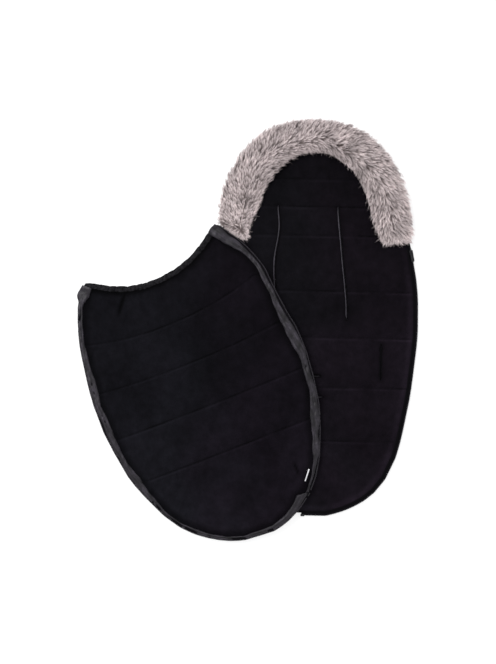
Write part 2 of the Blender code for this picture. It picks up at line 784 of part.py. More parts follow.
def add_bail(slider, place, turn, looks, cutters):
    """Join the wire arch that holds the puller's bar to the slider's upper plate."""
    leg = 0.5 * PULLER_BAR + FIT_GAP + BAIL_RADIUS
    crown = 2.0 * bar_height() + BAIL_RADIUS
    low = 0.5 * slider_height() - BAIL_SINK
    top = 0.5 * slider_height() + crown
    points = [(0.0, -leg, low), (0.0, -leg, top - BAIL_RADIUS), (0.0, -leg + BAIL_RADIUS, top),
              (0.0, leg - BAIL_RADIUS, top), (0.0, leg, top - BAIL_RADIUS), (0.0, leg, low)]
    arch = tube(slider.name + "_bail", points, BAIL_RADIUS, False, looks["slider"], cutters)
    arch.location = place
    arch.rotation_euler.z = turn
    solid = solid_from_curve(arch, cutters)
    hide_cutter(solid)
    join = slider.modifiers.new("bail", "BOOLEAN")
    join.operation = "UNION"
    join.solver = "EXACT"
    join.object = solid


def puller_plate(name, looks, group):
    """Flat tab with an eye for the slider's bail; its bar turns about the origin."""
    top = 0.5 * PULLER_BAR
    eye_end = -top - PULLER_EYE_LENGTH
    waist = 0.5 * PULLER_EYE_WIDTH + PULLER_BAR
    half = 0.5 * PULLER_WIDTH
    shoulder = eye_end - PULLER_BAR
    centre = top - PULLER_LENGTH + half
    outline = [(waist, top), (-waist, top), (-waist, eye_end), (-half, shoulder)]
    for k in range(PULLER_ARC_STEPS + 1):
        turn = math.pi + math.pi * k / PULLER_ARC_STEPS
        outline.append((half * math.cos(turn), centre + half * math.sin(turn)))
    outline.extend([(half, shoulder), (waist, eye_end)])
    inner = 0.5 * PULLER_EYE_WIDTH
    eye = [(inner, -top), (inner, eye_end), (-inner, eye_end), (-inner, -top)]
    return flat_shape(name, [outline, eye], PULLER_THICKNESS, looks["slider"], group)


def empty(name, place, direction, group):
    """Marker on a joint's axis, with its Z along the axis."""
    mark = bpy.data.objects.new(name, None)
    mark.empty_display_size = SLIDER_LENGTH
    mark.location = place
    mark.rotation_mode = "QUATERNION"
    mark.rotation_quaternion = Vector(direction).to_track_quat("Z", "Y")
    group.objects.link(mark)
    return mark


def keep_place(child, parent):
    """Parent an object and leave it where it is."""
    bpy.context.view_layer.update()
    child.parent = parent
    child.matrix_parent_inverse = parent.matrix_world.inverted()


def fold_axis(cover):
    """Point and direction of the line that the cover turns over about, in the liner's frame."""
    half_turn = 0.5 * COVER_TURN
    direction = Vector((-math.sin(half_turn), math.cos(half_turn)))
    out = Vector((direction.y, -direction.x))
    rim = [cover_to_liner(p) for p in offset_path(cover.edge, coil_reach() + COIL_RADIUS, True)]
    furthest = max(rim, key=lambda p: p.dot(out))
    return furthest, direction, out


def draw_travel(point, out):
    """How far the fold line moves across the liner while the cover turns over to close it."""
    open_place = Vector((COVER_X, COVER_Y)).dot(out)
    closed_y = COVER_Y - COVER_X * math.tan(0.5 * COVER_TURN)
    closed_place = Vector((0.0, closed_y)).dot(out)
    return 2.0 * point.dot(out) - open_place - closed_place


def build():
    """Make every piece."""
    clear_scene()
    group = new_collection("stroller_footmuff")
    cutters = new_collection("cutters")
    looks = {
        "shell": material("woven_shell", (0.010, 0.010, 0.013), 0.65, 0.0),
        "wadding": material("white_wadding", (0.78, 0.78, 0.76), 0.95, 0.0),
        "fleece": material("dark_fleece", (0.008, 0.008, 0.012), 0.95, 0.0),
        "binding": material("edge_binding", (0.022, 0.020, 0.026), 0.7, 0.0),
        "tape": material("zip_tape", (0.014, 0.013, 0.017), 0.75, 0.0),
        "coil": material("zip_coil", (0.016, 0.015, 0.018), 0.45, 0.0),
        "strip": material("satin_strip", (0.040, 0.036, 0.044), 0.45, 0.0),
        "elastic": material("elastic_webbing", (0.30, 0.30, 0.30), 0.8, 0.0),
        "fur": material("long_pile_fur", (0.38, 0.33, 0.32), 0.9, 0.0),
        "slider": material("slider_metal", (0.05, 0.05, 0.055), 0.35, 1.0),
        "label": material("label_cloth", (0.85, 0.85, 0.85), 0.8, 0.0),
    }
    liner, cover = make_panels()
    build_liner(liner, looks, group, cutters)
    build_cover(liner, cover, looks, group, cutters)


def build_liner(liner, looks, group, cutters):
    """The liner: layers, slots, edge, fur, zips and the right-hand slider."""
    def on_floor(point):
        return 0.0
    layers = panel_layers("liner", liner, on_floor, looks, group)
    slot_pieces(layers, looks, group, cutters)
    piping("liner", liner.edge, True, on_floor, looks, group)
    fur_pieces(liner, looks, group)
    head = ZIP_HEAD_SHARE
    right_foot = liner_point(ZIP_RIGHT_FOOT_X_SHARE, -1.0)
    right = zip_line(liner, right_foot, liner.place(1.0, head))
    left = zip_line(liner, liner.place(-1.0, head), liner.place(-1.0, ZIP_LEFT_FOOT_SHARE))
    right_path = zip_half("liner", "right", right, on_floor, looks, group)
    zip_half("liner", "left", left, on_floor, looks, group)
    zip_stop("liner_zip_box", right_path, looks, group)
    park = liner.place(1.0, SLIDER_PARK_SHARE)
    ahead = liner.place(1.0, SLIDER_PARK_SHARE - 2.0 * SLIDER_LENGTH / LINER_HALF_LENGTH)
    along = (park - ahead).normalized()
    out = Vector((along.y, -along.x))
    spot = park + out * coil_reach()
    turn = math.atan2(along.y, along.x) - 0.5 * math.pi
    aside = 0.5 * SLIDER_WIDTH - SLIDER_WALL - SLIDER_CLEARANCE - COIL_RADIUS
    centre = spot - out * aside
    place = Vector((centre.x, centre.y, edge_mid_height()))
    slider = slider_body("right_zip_slider", place, turn, looks, group, cutters)
    add_bail(slider, place, turn, looks, cutters)
    run = empty("right_zip_run_axis", place, (-along.x, -along.y, 0.0), group)
    keep_place(slider, run)
    axis_height = edge_mid_height() + 0.5 * slider_height() + bar_height()
    hinge = empty("right_puller_axis", (centre.x, centre.y, axis_height), (-out.x, -out.y, 0.0), group)
    puller = puller_plate("right_zip_puller", looks, group)
    puller.location = (centre.x, centre.y, axis_height)
    puller.rotation_euler.z = turn
    keep_place(puller, hinge)
    keep_place(hinge, run)


def build_cover(liner, cover, looks, group, cutters):
    """The cover, made in its own frame and then laid on the liner."""
    def lift(point):
        return drape(point, liner)
    before = set(group.objects)
    panel_layers("cover", cover, lift, looks, group)
    neck_right = cover.place(1.0, 1.0)
    neck_left = cover.place(-1.0, 1.0)
    joint = cover.place(1.0, COVER_JOINT_SHARE)
    around = zip_line(cover, neck_left, neck_right)
    piping("cover", around, False, lift, looks, group)
    short = zip_line(cover, joint, neck_right)
    long = zip_line(cover, neck_left, joint)
    zip_half("cover", "right", short, lift, looks, group)
    zip_end = shortened(long, ZIP_STOP_LENGTH + 3.0 * FIT_GAP)
    long_path = zip_half("cover", "left", zip_end, lift, looks, group)
    guard_strip("guard_strip_right", cover, short, lift, looks, group)
    strip_end = shortened(long, STRIP_JOINT_GAP)
    guard_strip("guard_strip_left", cover, strip_end, lift, looks, group)
    neck_casing(cover, lift, looks, group)
    zip_stop("cover_zip_pin", list(reversed(long_path)), looks, group)
    care_label(cover, lift, looks, group)
    pieces = [thing for thing in group.objects if thing not in before]
    point, direction, out = fold_axis(cover)
    axis_height = CREST_HEIGHT + LAY_GAP + edge_mid_height()
    draw = empty("cover_draw_axis", (point.x, point.y, axis_height), (-out.x, -out.y, 0.0), group)
    fold = empty("cover_fold_axis", (point.x, point.y, axis_height),
                 (direction.x, direction.y, 0.0), group)
    for piece in pieces:
        flat = piece.matrix_basis.copy()
        laid = Matrix.Translation((COVER_X, COVER_Y, 0.0)) @ Matrix.Rotation(COVER_TURN, 4, "Z")
        piece.matrix_world = laid @ flat
        keep_place(piece, fold)
    keep_place(fold, draw)
    draw["travel"] = draw_travel(point, out)
    left_slider(point, direction, out, draw, looks, group, cutters)


def left_slider(point, direction, out, draw, looks, group, cutters):
    """The left zip's slider and flat puller, which lie under the cover's edge and travel with it."""
    edge = CREST_HEIGHT + LAY_GAP + edge_mid_height() - PIPING_RADIUS - FIT_GAP
    height = edge - 0.5 * slider_height()
    turn = math.atan2(direction.y, direction.x) - 0.5 * math.pi
    centre = point - out * (0.5 * SLIDER_WIDTH + FIT_GAP)
    slider = slider_body("left_zip_slider", (centre.x, centre.y, height), turn, looks, group, cutters)
    puller = puller_plate("left_zip_puller", looks, group)
    away = 0.5 * SLIDER_LENGTH + 0.5 * PULLER_BAR + FIT_GAP
    spot = centre - direction * away
    puller.location = (spot.x, spot.y, height)
    puller.rotation_euler.z = turn
    keep_place(slider, draw)
    keep_place(puller, draw)


def care_label(cover, lift, looks, group):
    """Folded cloth label at the inner edge of the guard strip."""
    near = cover.place(1.0, LABEL_Y_SHARE)
    ahead = cover.place(1.0, LABEL_Y_SHARE + LABEL_LENGTH / COVER_HALF_LENGTH)
    along = (ahead - near).normalized()
    aside = Vector((along.y, -along.x))
    middle = 0.5 * (near + ahead) - aside * (STRIP_WIDTH + LABEL_GAP + 0.5 * LABEL_WIDTH)

    def place(i, j):
        length_place = LABEL_LENGTH * (j / LABEL_STEPS - 0.5)
        point = middle + along * length_place + aside * LABEL_WIDTH * (i - 0.5)
        low = lift(point) + cover.crest(point) + LABEL_LIFT
        return point.x, point.y, low, low + LABEL_THICKNESS
    slab("care_label", 1, LABEL_STEPS, place, looks["label"], group)


build()
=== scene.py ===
"""Looks of a stroller footmuff: quilted fleece liner with a fur hood edge, and its open zip-off cover."""
import json
import math
from functools import cache

import bmesh
import bpy
import numpy as np
from bpy.props import FloatProperty, FloatVectorProperty, IntProperty, PointerProperty
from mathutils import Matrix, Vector
from mathutils.bvhtree import BVHTree
from mathutils.kdtree import KDTree


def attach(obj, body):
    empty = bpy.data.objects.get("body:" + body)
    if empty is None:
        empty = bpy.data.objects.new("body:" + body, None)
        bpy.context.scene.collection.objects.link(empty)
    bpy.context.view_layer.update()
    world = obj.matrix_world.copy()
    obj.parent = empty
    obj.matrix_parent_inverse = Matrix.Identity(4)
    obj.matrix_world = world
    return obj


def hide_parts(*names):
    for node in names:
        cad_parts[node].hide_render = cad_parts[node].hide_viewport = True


bl_info = {
    "name": "Stroller Footmuff",
    "version": (1, 0, 0),
    "blender": (4, 5, 0),
    "location": "View3D > Sidebar > Footmuff",
    "description": "Dresses the packed footmuff with quilting, fleece, fur, satin and zips",
    "category": "Object",
}

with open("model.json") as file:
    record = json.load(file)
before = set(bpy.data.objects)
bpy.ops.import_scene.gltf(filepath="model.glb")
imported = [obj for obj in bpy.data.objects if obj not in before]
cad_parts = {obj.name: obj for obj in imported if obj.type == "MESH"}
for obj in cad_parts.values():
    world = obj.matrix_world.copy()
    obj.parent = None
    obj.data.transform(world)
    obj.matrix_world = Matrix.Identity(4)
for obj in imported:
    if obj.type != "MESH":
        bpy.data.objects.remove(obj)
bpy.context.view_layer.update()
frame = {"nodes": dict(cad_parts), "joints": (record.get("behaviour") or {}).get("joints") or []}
joints = {joint["name"]: joint for joint in frame["joints"]}

# Heights of a panel over what it lies on, the parts of its edge, its stitches and its cloth simulation
EDGE_LOW = 0.006
EDGE_HIGH = 0.011
EDGE_ROUNDING = 0.036
FLEECE_THICKNESS = 0.0022
SHELL_THICKNESS = 0.0012
EDGE_MIDDLE = 0.5 * (EDGE_LOW + EDGE_HIGH)
LAYER_GAP = 0.0003
BINDING_OFFSET = 0.0022
BINDING_WIDTH = 0.0034
BINDING_HEIGHT = 0.0030
TAPE_OFFSET = 0.0076
TAPE_HALF_WIDTH = 0.0038
TAPE_THICKNESS = 0.0008
COIL_OFFSET = 0.0110
COIL_RADIUS = 0.0011
COIL_WIRE = 0.00042
COIL_STEPS = 6
CASING_OFFSET = 0.0060
CASING_WIDTH = 0.0070
CASING_HEIGHT = 0.0034
CASING_LEAST = 0.0023
CASING_STEP = 0.0011
CASING_BEYOND = 0.006
GATHER_LENGTH = 0.0056
ELASTIC_HALF_WIDTH = 0.0042
ELASTIC_HALF_HEIGHT = 0.0007
THREAD_RADIUS = 0.00035
JUST_INSIDE = 0.0001
PATH_STEP = 0.003
TAPE_STEP = 0.004
TAPE_BEYOND_COIL = 14
STITCH_SINK = 0.0001
STITCH_FROM_BORDER = 0.004
STITCH_FROM_SLOT = 0.008
CLOTH_STEP = 0.0055
CLOTH_FRAMES = 20
CLOTH_PRESSURE = 4.0
CLOTH_SHRINK = -0.035
CLOTH_BENDING = 0.15
UP = Vector((0.0, 0.0, 1.0))
UPWARD = np.array(UP)

# Random swells: waves in each, and the values that a ripple runs through
WAVES = 9
KNOTS = 4096

# Mesh of a panel: how close rows and columns are drawn beside seams, how fast rows bend to the neck, how
# far the drift of the border reaches in, how much smaller it is read for its lift, and points at once
ROW_CLOSENESS = 0.75
COLUMN_CLOSENESS = 0.25
NECK_POWER = 2.2
DRIFT_FADE = 0.07
LIFT_SHRINK = 0.006
POINTS_AT_ONCE = 1500

# Fleece: its least height, how far from the edge the padding rises, its seam grooves, the width of the
# painted shade line along each seam and the place and width of the painted highlight beside it, and its
# wrinkles
LEAST_HEIGHT = 0.0082
BULGE_RUN = 0.028
GROOVE_DEPTH = 0.0019
GROOVE_WIDTH = 0.0024
SEAM_SHADE_LINE = 0.0018
SEAM_HIGHLIGHT = (0.0042, 0.0022)
WRINKLE_LIMIT = 0.0016
CREST_PERCENTILE = 92
CREST_POWER = 0.65

# Zip tape across its width: share of the half width, share of the thickness
TAPE_PROFILE = ((-1.0, -0.5), (1.0, -0.5), (1.0, 0.5), (0.62, 0.55), (0.52, 1.0), (0.42, 0.55), (-1.0, 0.5))

# Strap slots: a wide lip in satin lightened as a painted highlight and a narrow dark one, the cut below
# them, and how the slots bend, in metres
LIGHT_LIP = 0.0042
DARK_LIP = 0.0036
CROTCH_LIP_SHARE = 0.62
LIP_CORNERS = 16
LIP_END = 0.010
CUT_LOW, CUT_HIGH = -0.01, 0.03
LIP_OVERLAP = 0.0011
LIP_FOOT = 0.0009
SLIT_BENDS = {
    "harness_slot_binding_left": ((0.0, 0.10, 0.22, 0.36, 0.50, 0.64, 0.78, 1.0),
                                  (-0.0020, 0.0048, 0.0068, -0.0015, -0.0064, -0.0052, -0.0012, 0.0)),
    "harness_slot_binding_right": ((0.0, 0.40, 0.88, 1.0), (0.0, 0.0010, 0.0036, 0.0)),
}

# Satin strip: where its lengths meet, how it runs on and lifts at the neck, its thickness, its path's step,
# its widths, how much wider the cloth is than it lies, and its section as width share and height
STRIP_JOINT_SHARE = -0.84
STRIP_NECK_REACH = {"right": 0.031, "left": 0.001}
STRIP_NECK_LIFT = 0.0036
STRIP_THICKNESS = 0.0009
STRIP_STEP = 0.0028
STRIP_LEAST_WIDTH = 0.004
STRIP_FULL_WIDTH = 0.014
# Rows: share of the length; how far the strip reaches inside and outside the border; the border's drift
RIGHT_STRIP = (
    (0.00, -0.0035, 0.0090, 0.0015), (0.05, -0.0005, 0.0058, 0.0013), (0.10, 0.0022, 0.0080, 0.0),
    (0.15, 0.0068, 0.0118, 0.0), (0.20, 0.0081, 0.0066, 0.0016), (0.25, 0.0120, 0.0115, 0.0),
    (0.30, 0.0110, 0.0088, 0.0010), (0.35, 0.0055, 0.0115, 0.0), (0.40, 0.0080, 0.0072, 0.0),
    (0.45, 0.0075, 0.0088, -0.0010), (0.50, 0.0140, 0.0105, 0.0), (0.55, 0.0172, 0.0072, 0.0030),
    (0.60, 0.0142, 0.0054, 0.0), (0.65, 0.0105, 0.0038, 0.0), (0.70, 0.0040, 0.0084, -0.0020),
    (0.75, 0.0075, 0.0061, 0.0015), (0.80, 0.0042, 0.0068, 0.0050), (0.85, 0.0055, 0.0062, 0.0060),
    (0.90, 0.0122, 0.0075, 0.0025), (0.95, 0.0175, 0.0068, -0.0040), (1.00, 0.0210, 0.0070, -0.0060),
)
LEFT_STRIP = (
    (0.00, 0.0100, 0.0140, -0.0006), (0.024, 0.0120, 0.0180, -0.0030), (0.030, 0.0100, 0.0165, -0.0040),
    (0.042, 0.0035, 0.0110, -0.0055), (0.05, 0.0010, 0.0110, -0.0060), (0.10, 0.0, 0.0110, -0.0025),
    (0.15, 0.0012, 0.0109, -0.0013), (0.20, 0.0047, 0.0111, -0.0013), (0.25, 0.0095, 0.0115, 0.0),
    (0.30, 0.0057, 0.0108, -0.0033), (0.35, 0.0098, 0.0072, -0.0037), (0.40, 0.0064, 0.0101, -0.0046),
    (0.45, 0.0045, 0.0110, -0.0030), (0.50, 0.0097, 0.0113, -0.0013), (0.55, 0.0033, 0.0112, -0.0027),
    (0.60, -0.0010, 0.0110, -0.0030), (0.65, -0.0020, 0.0110, -0.0050), (0.70, 0.0015, 0.0110, -0.0045),
    (0.75, -0.0010, 0.0110, -0.0090), (0.80, -0.0010, 0.0106, -0.0100), (0.85, 0.0010, 0.0110, -0.0070),
    (0.90, 0.0045, 0.0110, -0.0050), (0.95, 0.0060, 0.0110, 0.0), (0.982, 0.0125, 0.0085, 0.0015),
    (1.00, -0.0030, 0.0088, 0.0015),
)
STRIP_PROFILE = ((0.0, 0.0), (0.05, 0.0004), (0.14, 0.0008), (0.26, 0.0012), (0.38, 0.0010),
                 (0.46, 0.0003), (0.54, 0.0007), (0.66, 0.0017), (0.78, 0.0023), (0.88, 0.0021),
                 (0.96, 0.0010), (1.0, 0.0001))

# Label: how far its visible fold lies outside its packed place, its thickness, where on its way it folds,
# and the share of its packed width that shows
LABEL_SHIFT = 0.0150
LABEL_THICKNESS = 0.00022
LABEL_FOLD = 0.42
LABEL_SHOWN = 0.42

# Puckers beside seams, sagging patches and folds along the cover's neck, in metres
PUCKER_DEPTH = 0.0014
PUCKER_LENGTH = 0.0115
PUCKER_REACH = 0.013
SAG_DEPTH = 0.0016
NECK_FOLD_DEPTH = 0.0044
NECK_FOLD_LENGTH = 0.027

# Short creases in the cover: flat world places of their ends, half width and depth
CREASES = (
    (((-0.450, 0.058), (-0.466, -0.002)), 0.005, 0.0050),
    (((-0.037, -0.342), (-0.024, -0.370)), 0.0028, 0.0022),
)
# How much painted shade darkens the colour along the creases
CREASE_PAINTED_SHADE = 0.95

# How fast a painted light gradient darkens the fleece's colour toward the head, per metre
PAINTED_LIGHT_SLOPE = {"liner": 0.68, "cover": 1.45}

# Flat world x where the fleece's colour turns from greyer on its left to redder
GREY_SIDE = {"liner": 0.02, "cover": -0.26}

# Fur: share of the band's width where the hairs part; a hair's half width; the locks' lengths as shares,
# and how far along its length a lock reaches; the share of stray hairs; the pile top under which no hair
# stands out; a hair's points and its faces' corners, the shares of its length, climb and width at them; how
# far hairs lean out and along at band shares
HAIR_PARTING = 0.34
HAIR_HALF_WIDTH = 0.00033
LOCK_LENGTHS = (0.72, 1.04)
LOCK_REACH = 0.88
STRAY_SHARE = 0.14
LOW_PILE = 0.022
HAIR_POINTS = 7
HAIR_CORNERS = 11
HAIR_STEPS = np.array([0.0, 0.38, 0.74, 1.0])
HAIR_RISE = np.array([0.0, 0.72, 1.0, 0.74])
HAIR_TAPER = np.array([1.0, 0.92, 0.6])
HAIR_COMBING = ((0.0, 0.65, 0.75), (0.25, 0.60, 0.80), (0.5, 0.90, 0.50), (0.75, 0.50, 0.90),
                (0.92, 0.45, 0.60), (1.0, 0.35, -0.70))

# Photograph's framing: where the camera stands over the object, and how much it takes in
CAMERA_X = -0.1529
CAMERA_Y = -0.0319
CAMERA_TURN = 0.0202
CAMERA_HEIGHT = 2.4
VIEW_LENGTH = 1.5936
VIEW_LEVEL = 0.018
SENSOR_SIDE = 36.0

# Floor and studio light: how white each is to the camera, and how bright it is for everything else
FLOOR_HALF = 6.0
FLOOR_DROP = 0.0005
FLOOR_BRIGHT, FLOOR_SEEN, FLOOR_GLOW = (0.82,) * 3, (0.40,) * 3, 0.66
ROOM_BRIGHT, ROOM_SEEN = (1.05, 1.05, 1.06), (1.0, 1.0, 1.0)
LAMP_SIZE = (1.6, 1.0)
LAMP_POWER = 34.0
LAMP_PLACE = (-1.1, 0.8, 1.65)
LAMP_AIM = Vector((-0.1, 0.0, 0.0))


class FootmuffSizes(bpy.types.PropertyGroup):
    """Sizes that a user would change"""
    row_step: FloatProperty(name="Row Step", description="Mesh spacing along the padded panels",
                            default=0.0045, min=0.002, unit="LENGTH")
    column_step: FloatProperty(name="Column Step", description="Mesh spacing across the padded panels",
                               default=0.0027, min=0.002, unit="LENGTH")
    crest_height: FloatProperty(name="Crest Height", description="Height of the padding between seams",
                                default=0.0178, unit="LENGTH")
    stitch_length: FloatProperty(name="Stitch Length", description="Length of a quilting stitch",
                                 default=0.0028, unit="LENGTH")
    stitch_pitch: FloatProperty(name="Stitch Pitch", description="Distance between quilting stitches",
                                default=0.0038, unit="LENGTH")
    tooth_pitch: FloatProperty(name="Tooth Pitch", description="Distance between zip coil turns",
                               default=0.0018, unit="LENGTH")
    pile_length: FloatProperty(name="Pile Length", description="Length of the fur's hairs",
                               default=0.034, unit="LENGTH")
    pile_hairs: IntProperty(name="Pile Hairs", description="How many hairs the fur has",
                            default=39000, min=1000)
    pile_locks: IntProperty(name="Pile Locks", description="How many locks the hairs gather in",
                            default=4200, min=100)
    liner_seams: FloatVectorProperty(name="Liner Seams", size=7,
                                     description="Quilting seams as shares of the liner's half length",
                                     default=(-0.63, -0.349, -0.087, 0.157, 0.447, 0.597, 0.741))
    cover_seams: FloatVectorProperty(name="Cover Seams", size=4,
                                     description="Quilting seams as shares of the cover's half length",
                                     default=(-0.39, -0.051, 0.291, 0.636))


def colour_property(name, description, default):
    """A colour that a user can pick."""
    return FloatVectorProperty(name=name, description=description, size=3, subtype="COLOR",
                               default=default, min=0.0, max=1.0)


class FootmuffColours(bpy.types.PropertyGroup):
    """Colours of the fabrics and fittings"""
    liner_fleece: colour_property("Liner Fleece", "Short pile inside the liner",
                                  (0.00365, 0.00290, 0.00440))
    cover_fleece: colour_property("Cover Fleece", "Short pile inside the cover",
                                  (0.00308, 0.00260, 0.00400))
    shell: colour_property("Shell", "Woven outer fabric", (0.0062, 0.0058, 0.0070))
    satin: colour_property("Satin", "Guard strip inside the zip", (0.0135, 0.0116, 0.0155))
    # The slot lip colour is the satin lightened, a painted highlight on the lips' lit side
    lip: colour_property("Slot lip", "Satin lips of the strap slots", (0.0215, 0.0185, 0.0250))
    binding: colour_property("Binding", "Bound edges", (0.0030, 0.0027, 0.0034))
    tape: colour_property("Tape", "Zip tape", (0.0034, 0.0031, 0.0039))
    coil: colour_property("Coil", "Zip coil", (0.034, 0.031, 0.037))
    slider: colour_property("Slider", "Painted zip slider", (0.012, 0.0115, 0.013))
    fur_tip: colour_property("Fur Tip", "Pale ends of the hairs", (0.55, 0.475, 0.472))
    fur_root: colour_property("Fur Root", "Dark lower part of the hairs", (0.13, 0.103, 0.100))
    wadding: colour_property("Wadding", "Fibre filling", (0.78, 0.78, 0.76))
    elastic: colour_property("Elastic", "Knitted elastic", (0.30, 0.30, 0.30))
    label: colour_property("Label", "Blank care label", (0.58, 0.58, 0.60))


def sizes():
    """The scene's sizes."""
    return bpy.context.scene.footmuff_sizes


def colours():
    """The scene's colours."""
    return bpy.context.scene.footmuff_colours


# Reading the frame

def node_mesh(name):
    """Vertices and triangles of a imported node."""
    mesh = frame["nodes"][name].data
    spots = np.empty(len(mesh.vertices) * 3)
    mesh.vertices.foreach_get("co", spots)
    mesh.calc_loop_triangles()
    corners = np.empty(len(mesh.loop_triangles) * 3, np.int32)
    mesh.loop_triangles.foreach_get("vertices", corners)
    return spots.reshape(-1, 3), corners.reshape(-1, 3)


def sides_of(corners):
    """The sides of triangles as pairs of points."""
    return np.concatenate([corners[:, [0, 1]], corners[:, [1, 2]], corners[:, [2, 0]]])


def tree_of(spots, corners):
    """A search tree over triangles."""
    return BVHTree.FromPolygons([tuple(p) for p in spots], [tuple(int(i) for i in c) for c in corners])


def turned(points, angle):
    """Flat points turned about the origin."""
    c, s = math.cos(angle), math.sin(angle)
    return points @ np.array([[c, s], [-s, c]])


def smooth_step(k):
    """Smooth rise from 0 to 1."""
    k = np.clip(k, 0.0, 1.0)
    return k * k * (3.0 - 2.0 * k)


def peak(values, place, width):
    """1 at a place, fading to 0 beside it."""
    return np.exp(-((values - place) / width) ** 2)


def wobble(points, wavelength, seed):
    """Even random swell over flat points, about -1 to 1."""
    rng = np.random.default_rng(seed)
    total = np.zeros(points.shape[:-1])
    for _ in range(WAVES):
        heading = rng.uniform(0.0, 2.0 * math.pi)
        length = wavelength * rng.uniform(0.7, 1.5)
        phase = rng.uniform(0.0, 2.0 * math.pi)
        along = points[..., 0] * math.cos(heading) + points[..., 1] * math.sin(heading)
        total += np.cos(2.0 * math.pi * along / length + phase)
    return total / math.sqrt(WAVES) * 0.8


def patches(points, mean, swing, wavelength, seed, least=0.0, most=1.0):
    """Random patches over flat points: a mean with an even swing, kept between two values."""
    return np.clip(mean + swing * wobble(points, wavelength, seed), least, most)


def ripple(along, wavelength, seed):
    """Uneven one-way swell along a length, -1 to 1."""
    rng = np.random.default_rng(seed)
    knots = rng.uniform(-1.0, 1.0, KNOTS)
    spot = np.asarray(along) / wavelength + 50.0
    low = np.floor(spot).astype(int)
    k = smooth_step(spot - low)
    return knots[low % KNOTS] * (1.0 - k) + knots[(low + 1) % KNOTS] * k


def blurred(field, passes):
    """A grid averaged with its neighbours."""
    for _ in range(passes):
        wide = np.pad(field, 1, mode="edge")
        field = (wide[1:-1, 1:-1] * 2.0 + wide[:-2, 1:-1] + wide[2:, 1:-1]
                 + wide[1:-1, :-2] + wide[1:-1, 2:]) / 6.0
    return field


def evened(values, reach, mode="edge"):
    """Values along a path, each averaged with some neighbours on both sides."""
    count = 2 * reach + 1
    return np.convolve(np.pad(values, reach, mode=mode), np.ones(count) / count, "valid")


def every(step, count):
    """Indices some steps apart, with the last one."""
    return np.unique([*range(0, count, step), count - 1])


def eased(span, step, closeness):
    """Even steps over a span as shares, drawn closer towards both ends."""
    share = np.linspace(0.0, 1.0, max(4, round(span / step)) + 1)
    return share - closeness * np.sin(2.0 * math.pi * share) / (2.0 * math.pi)


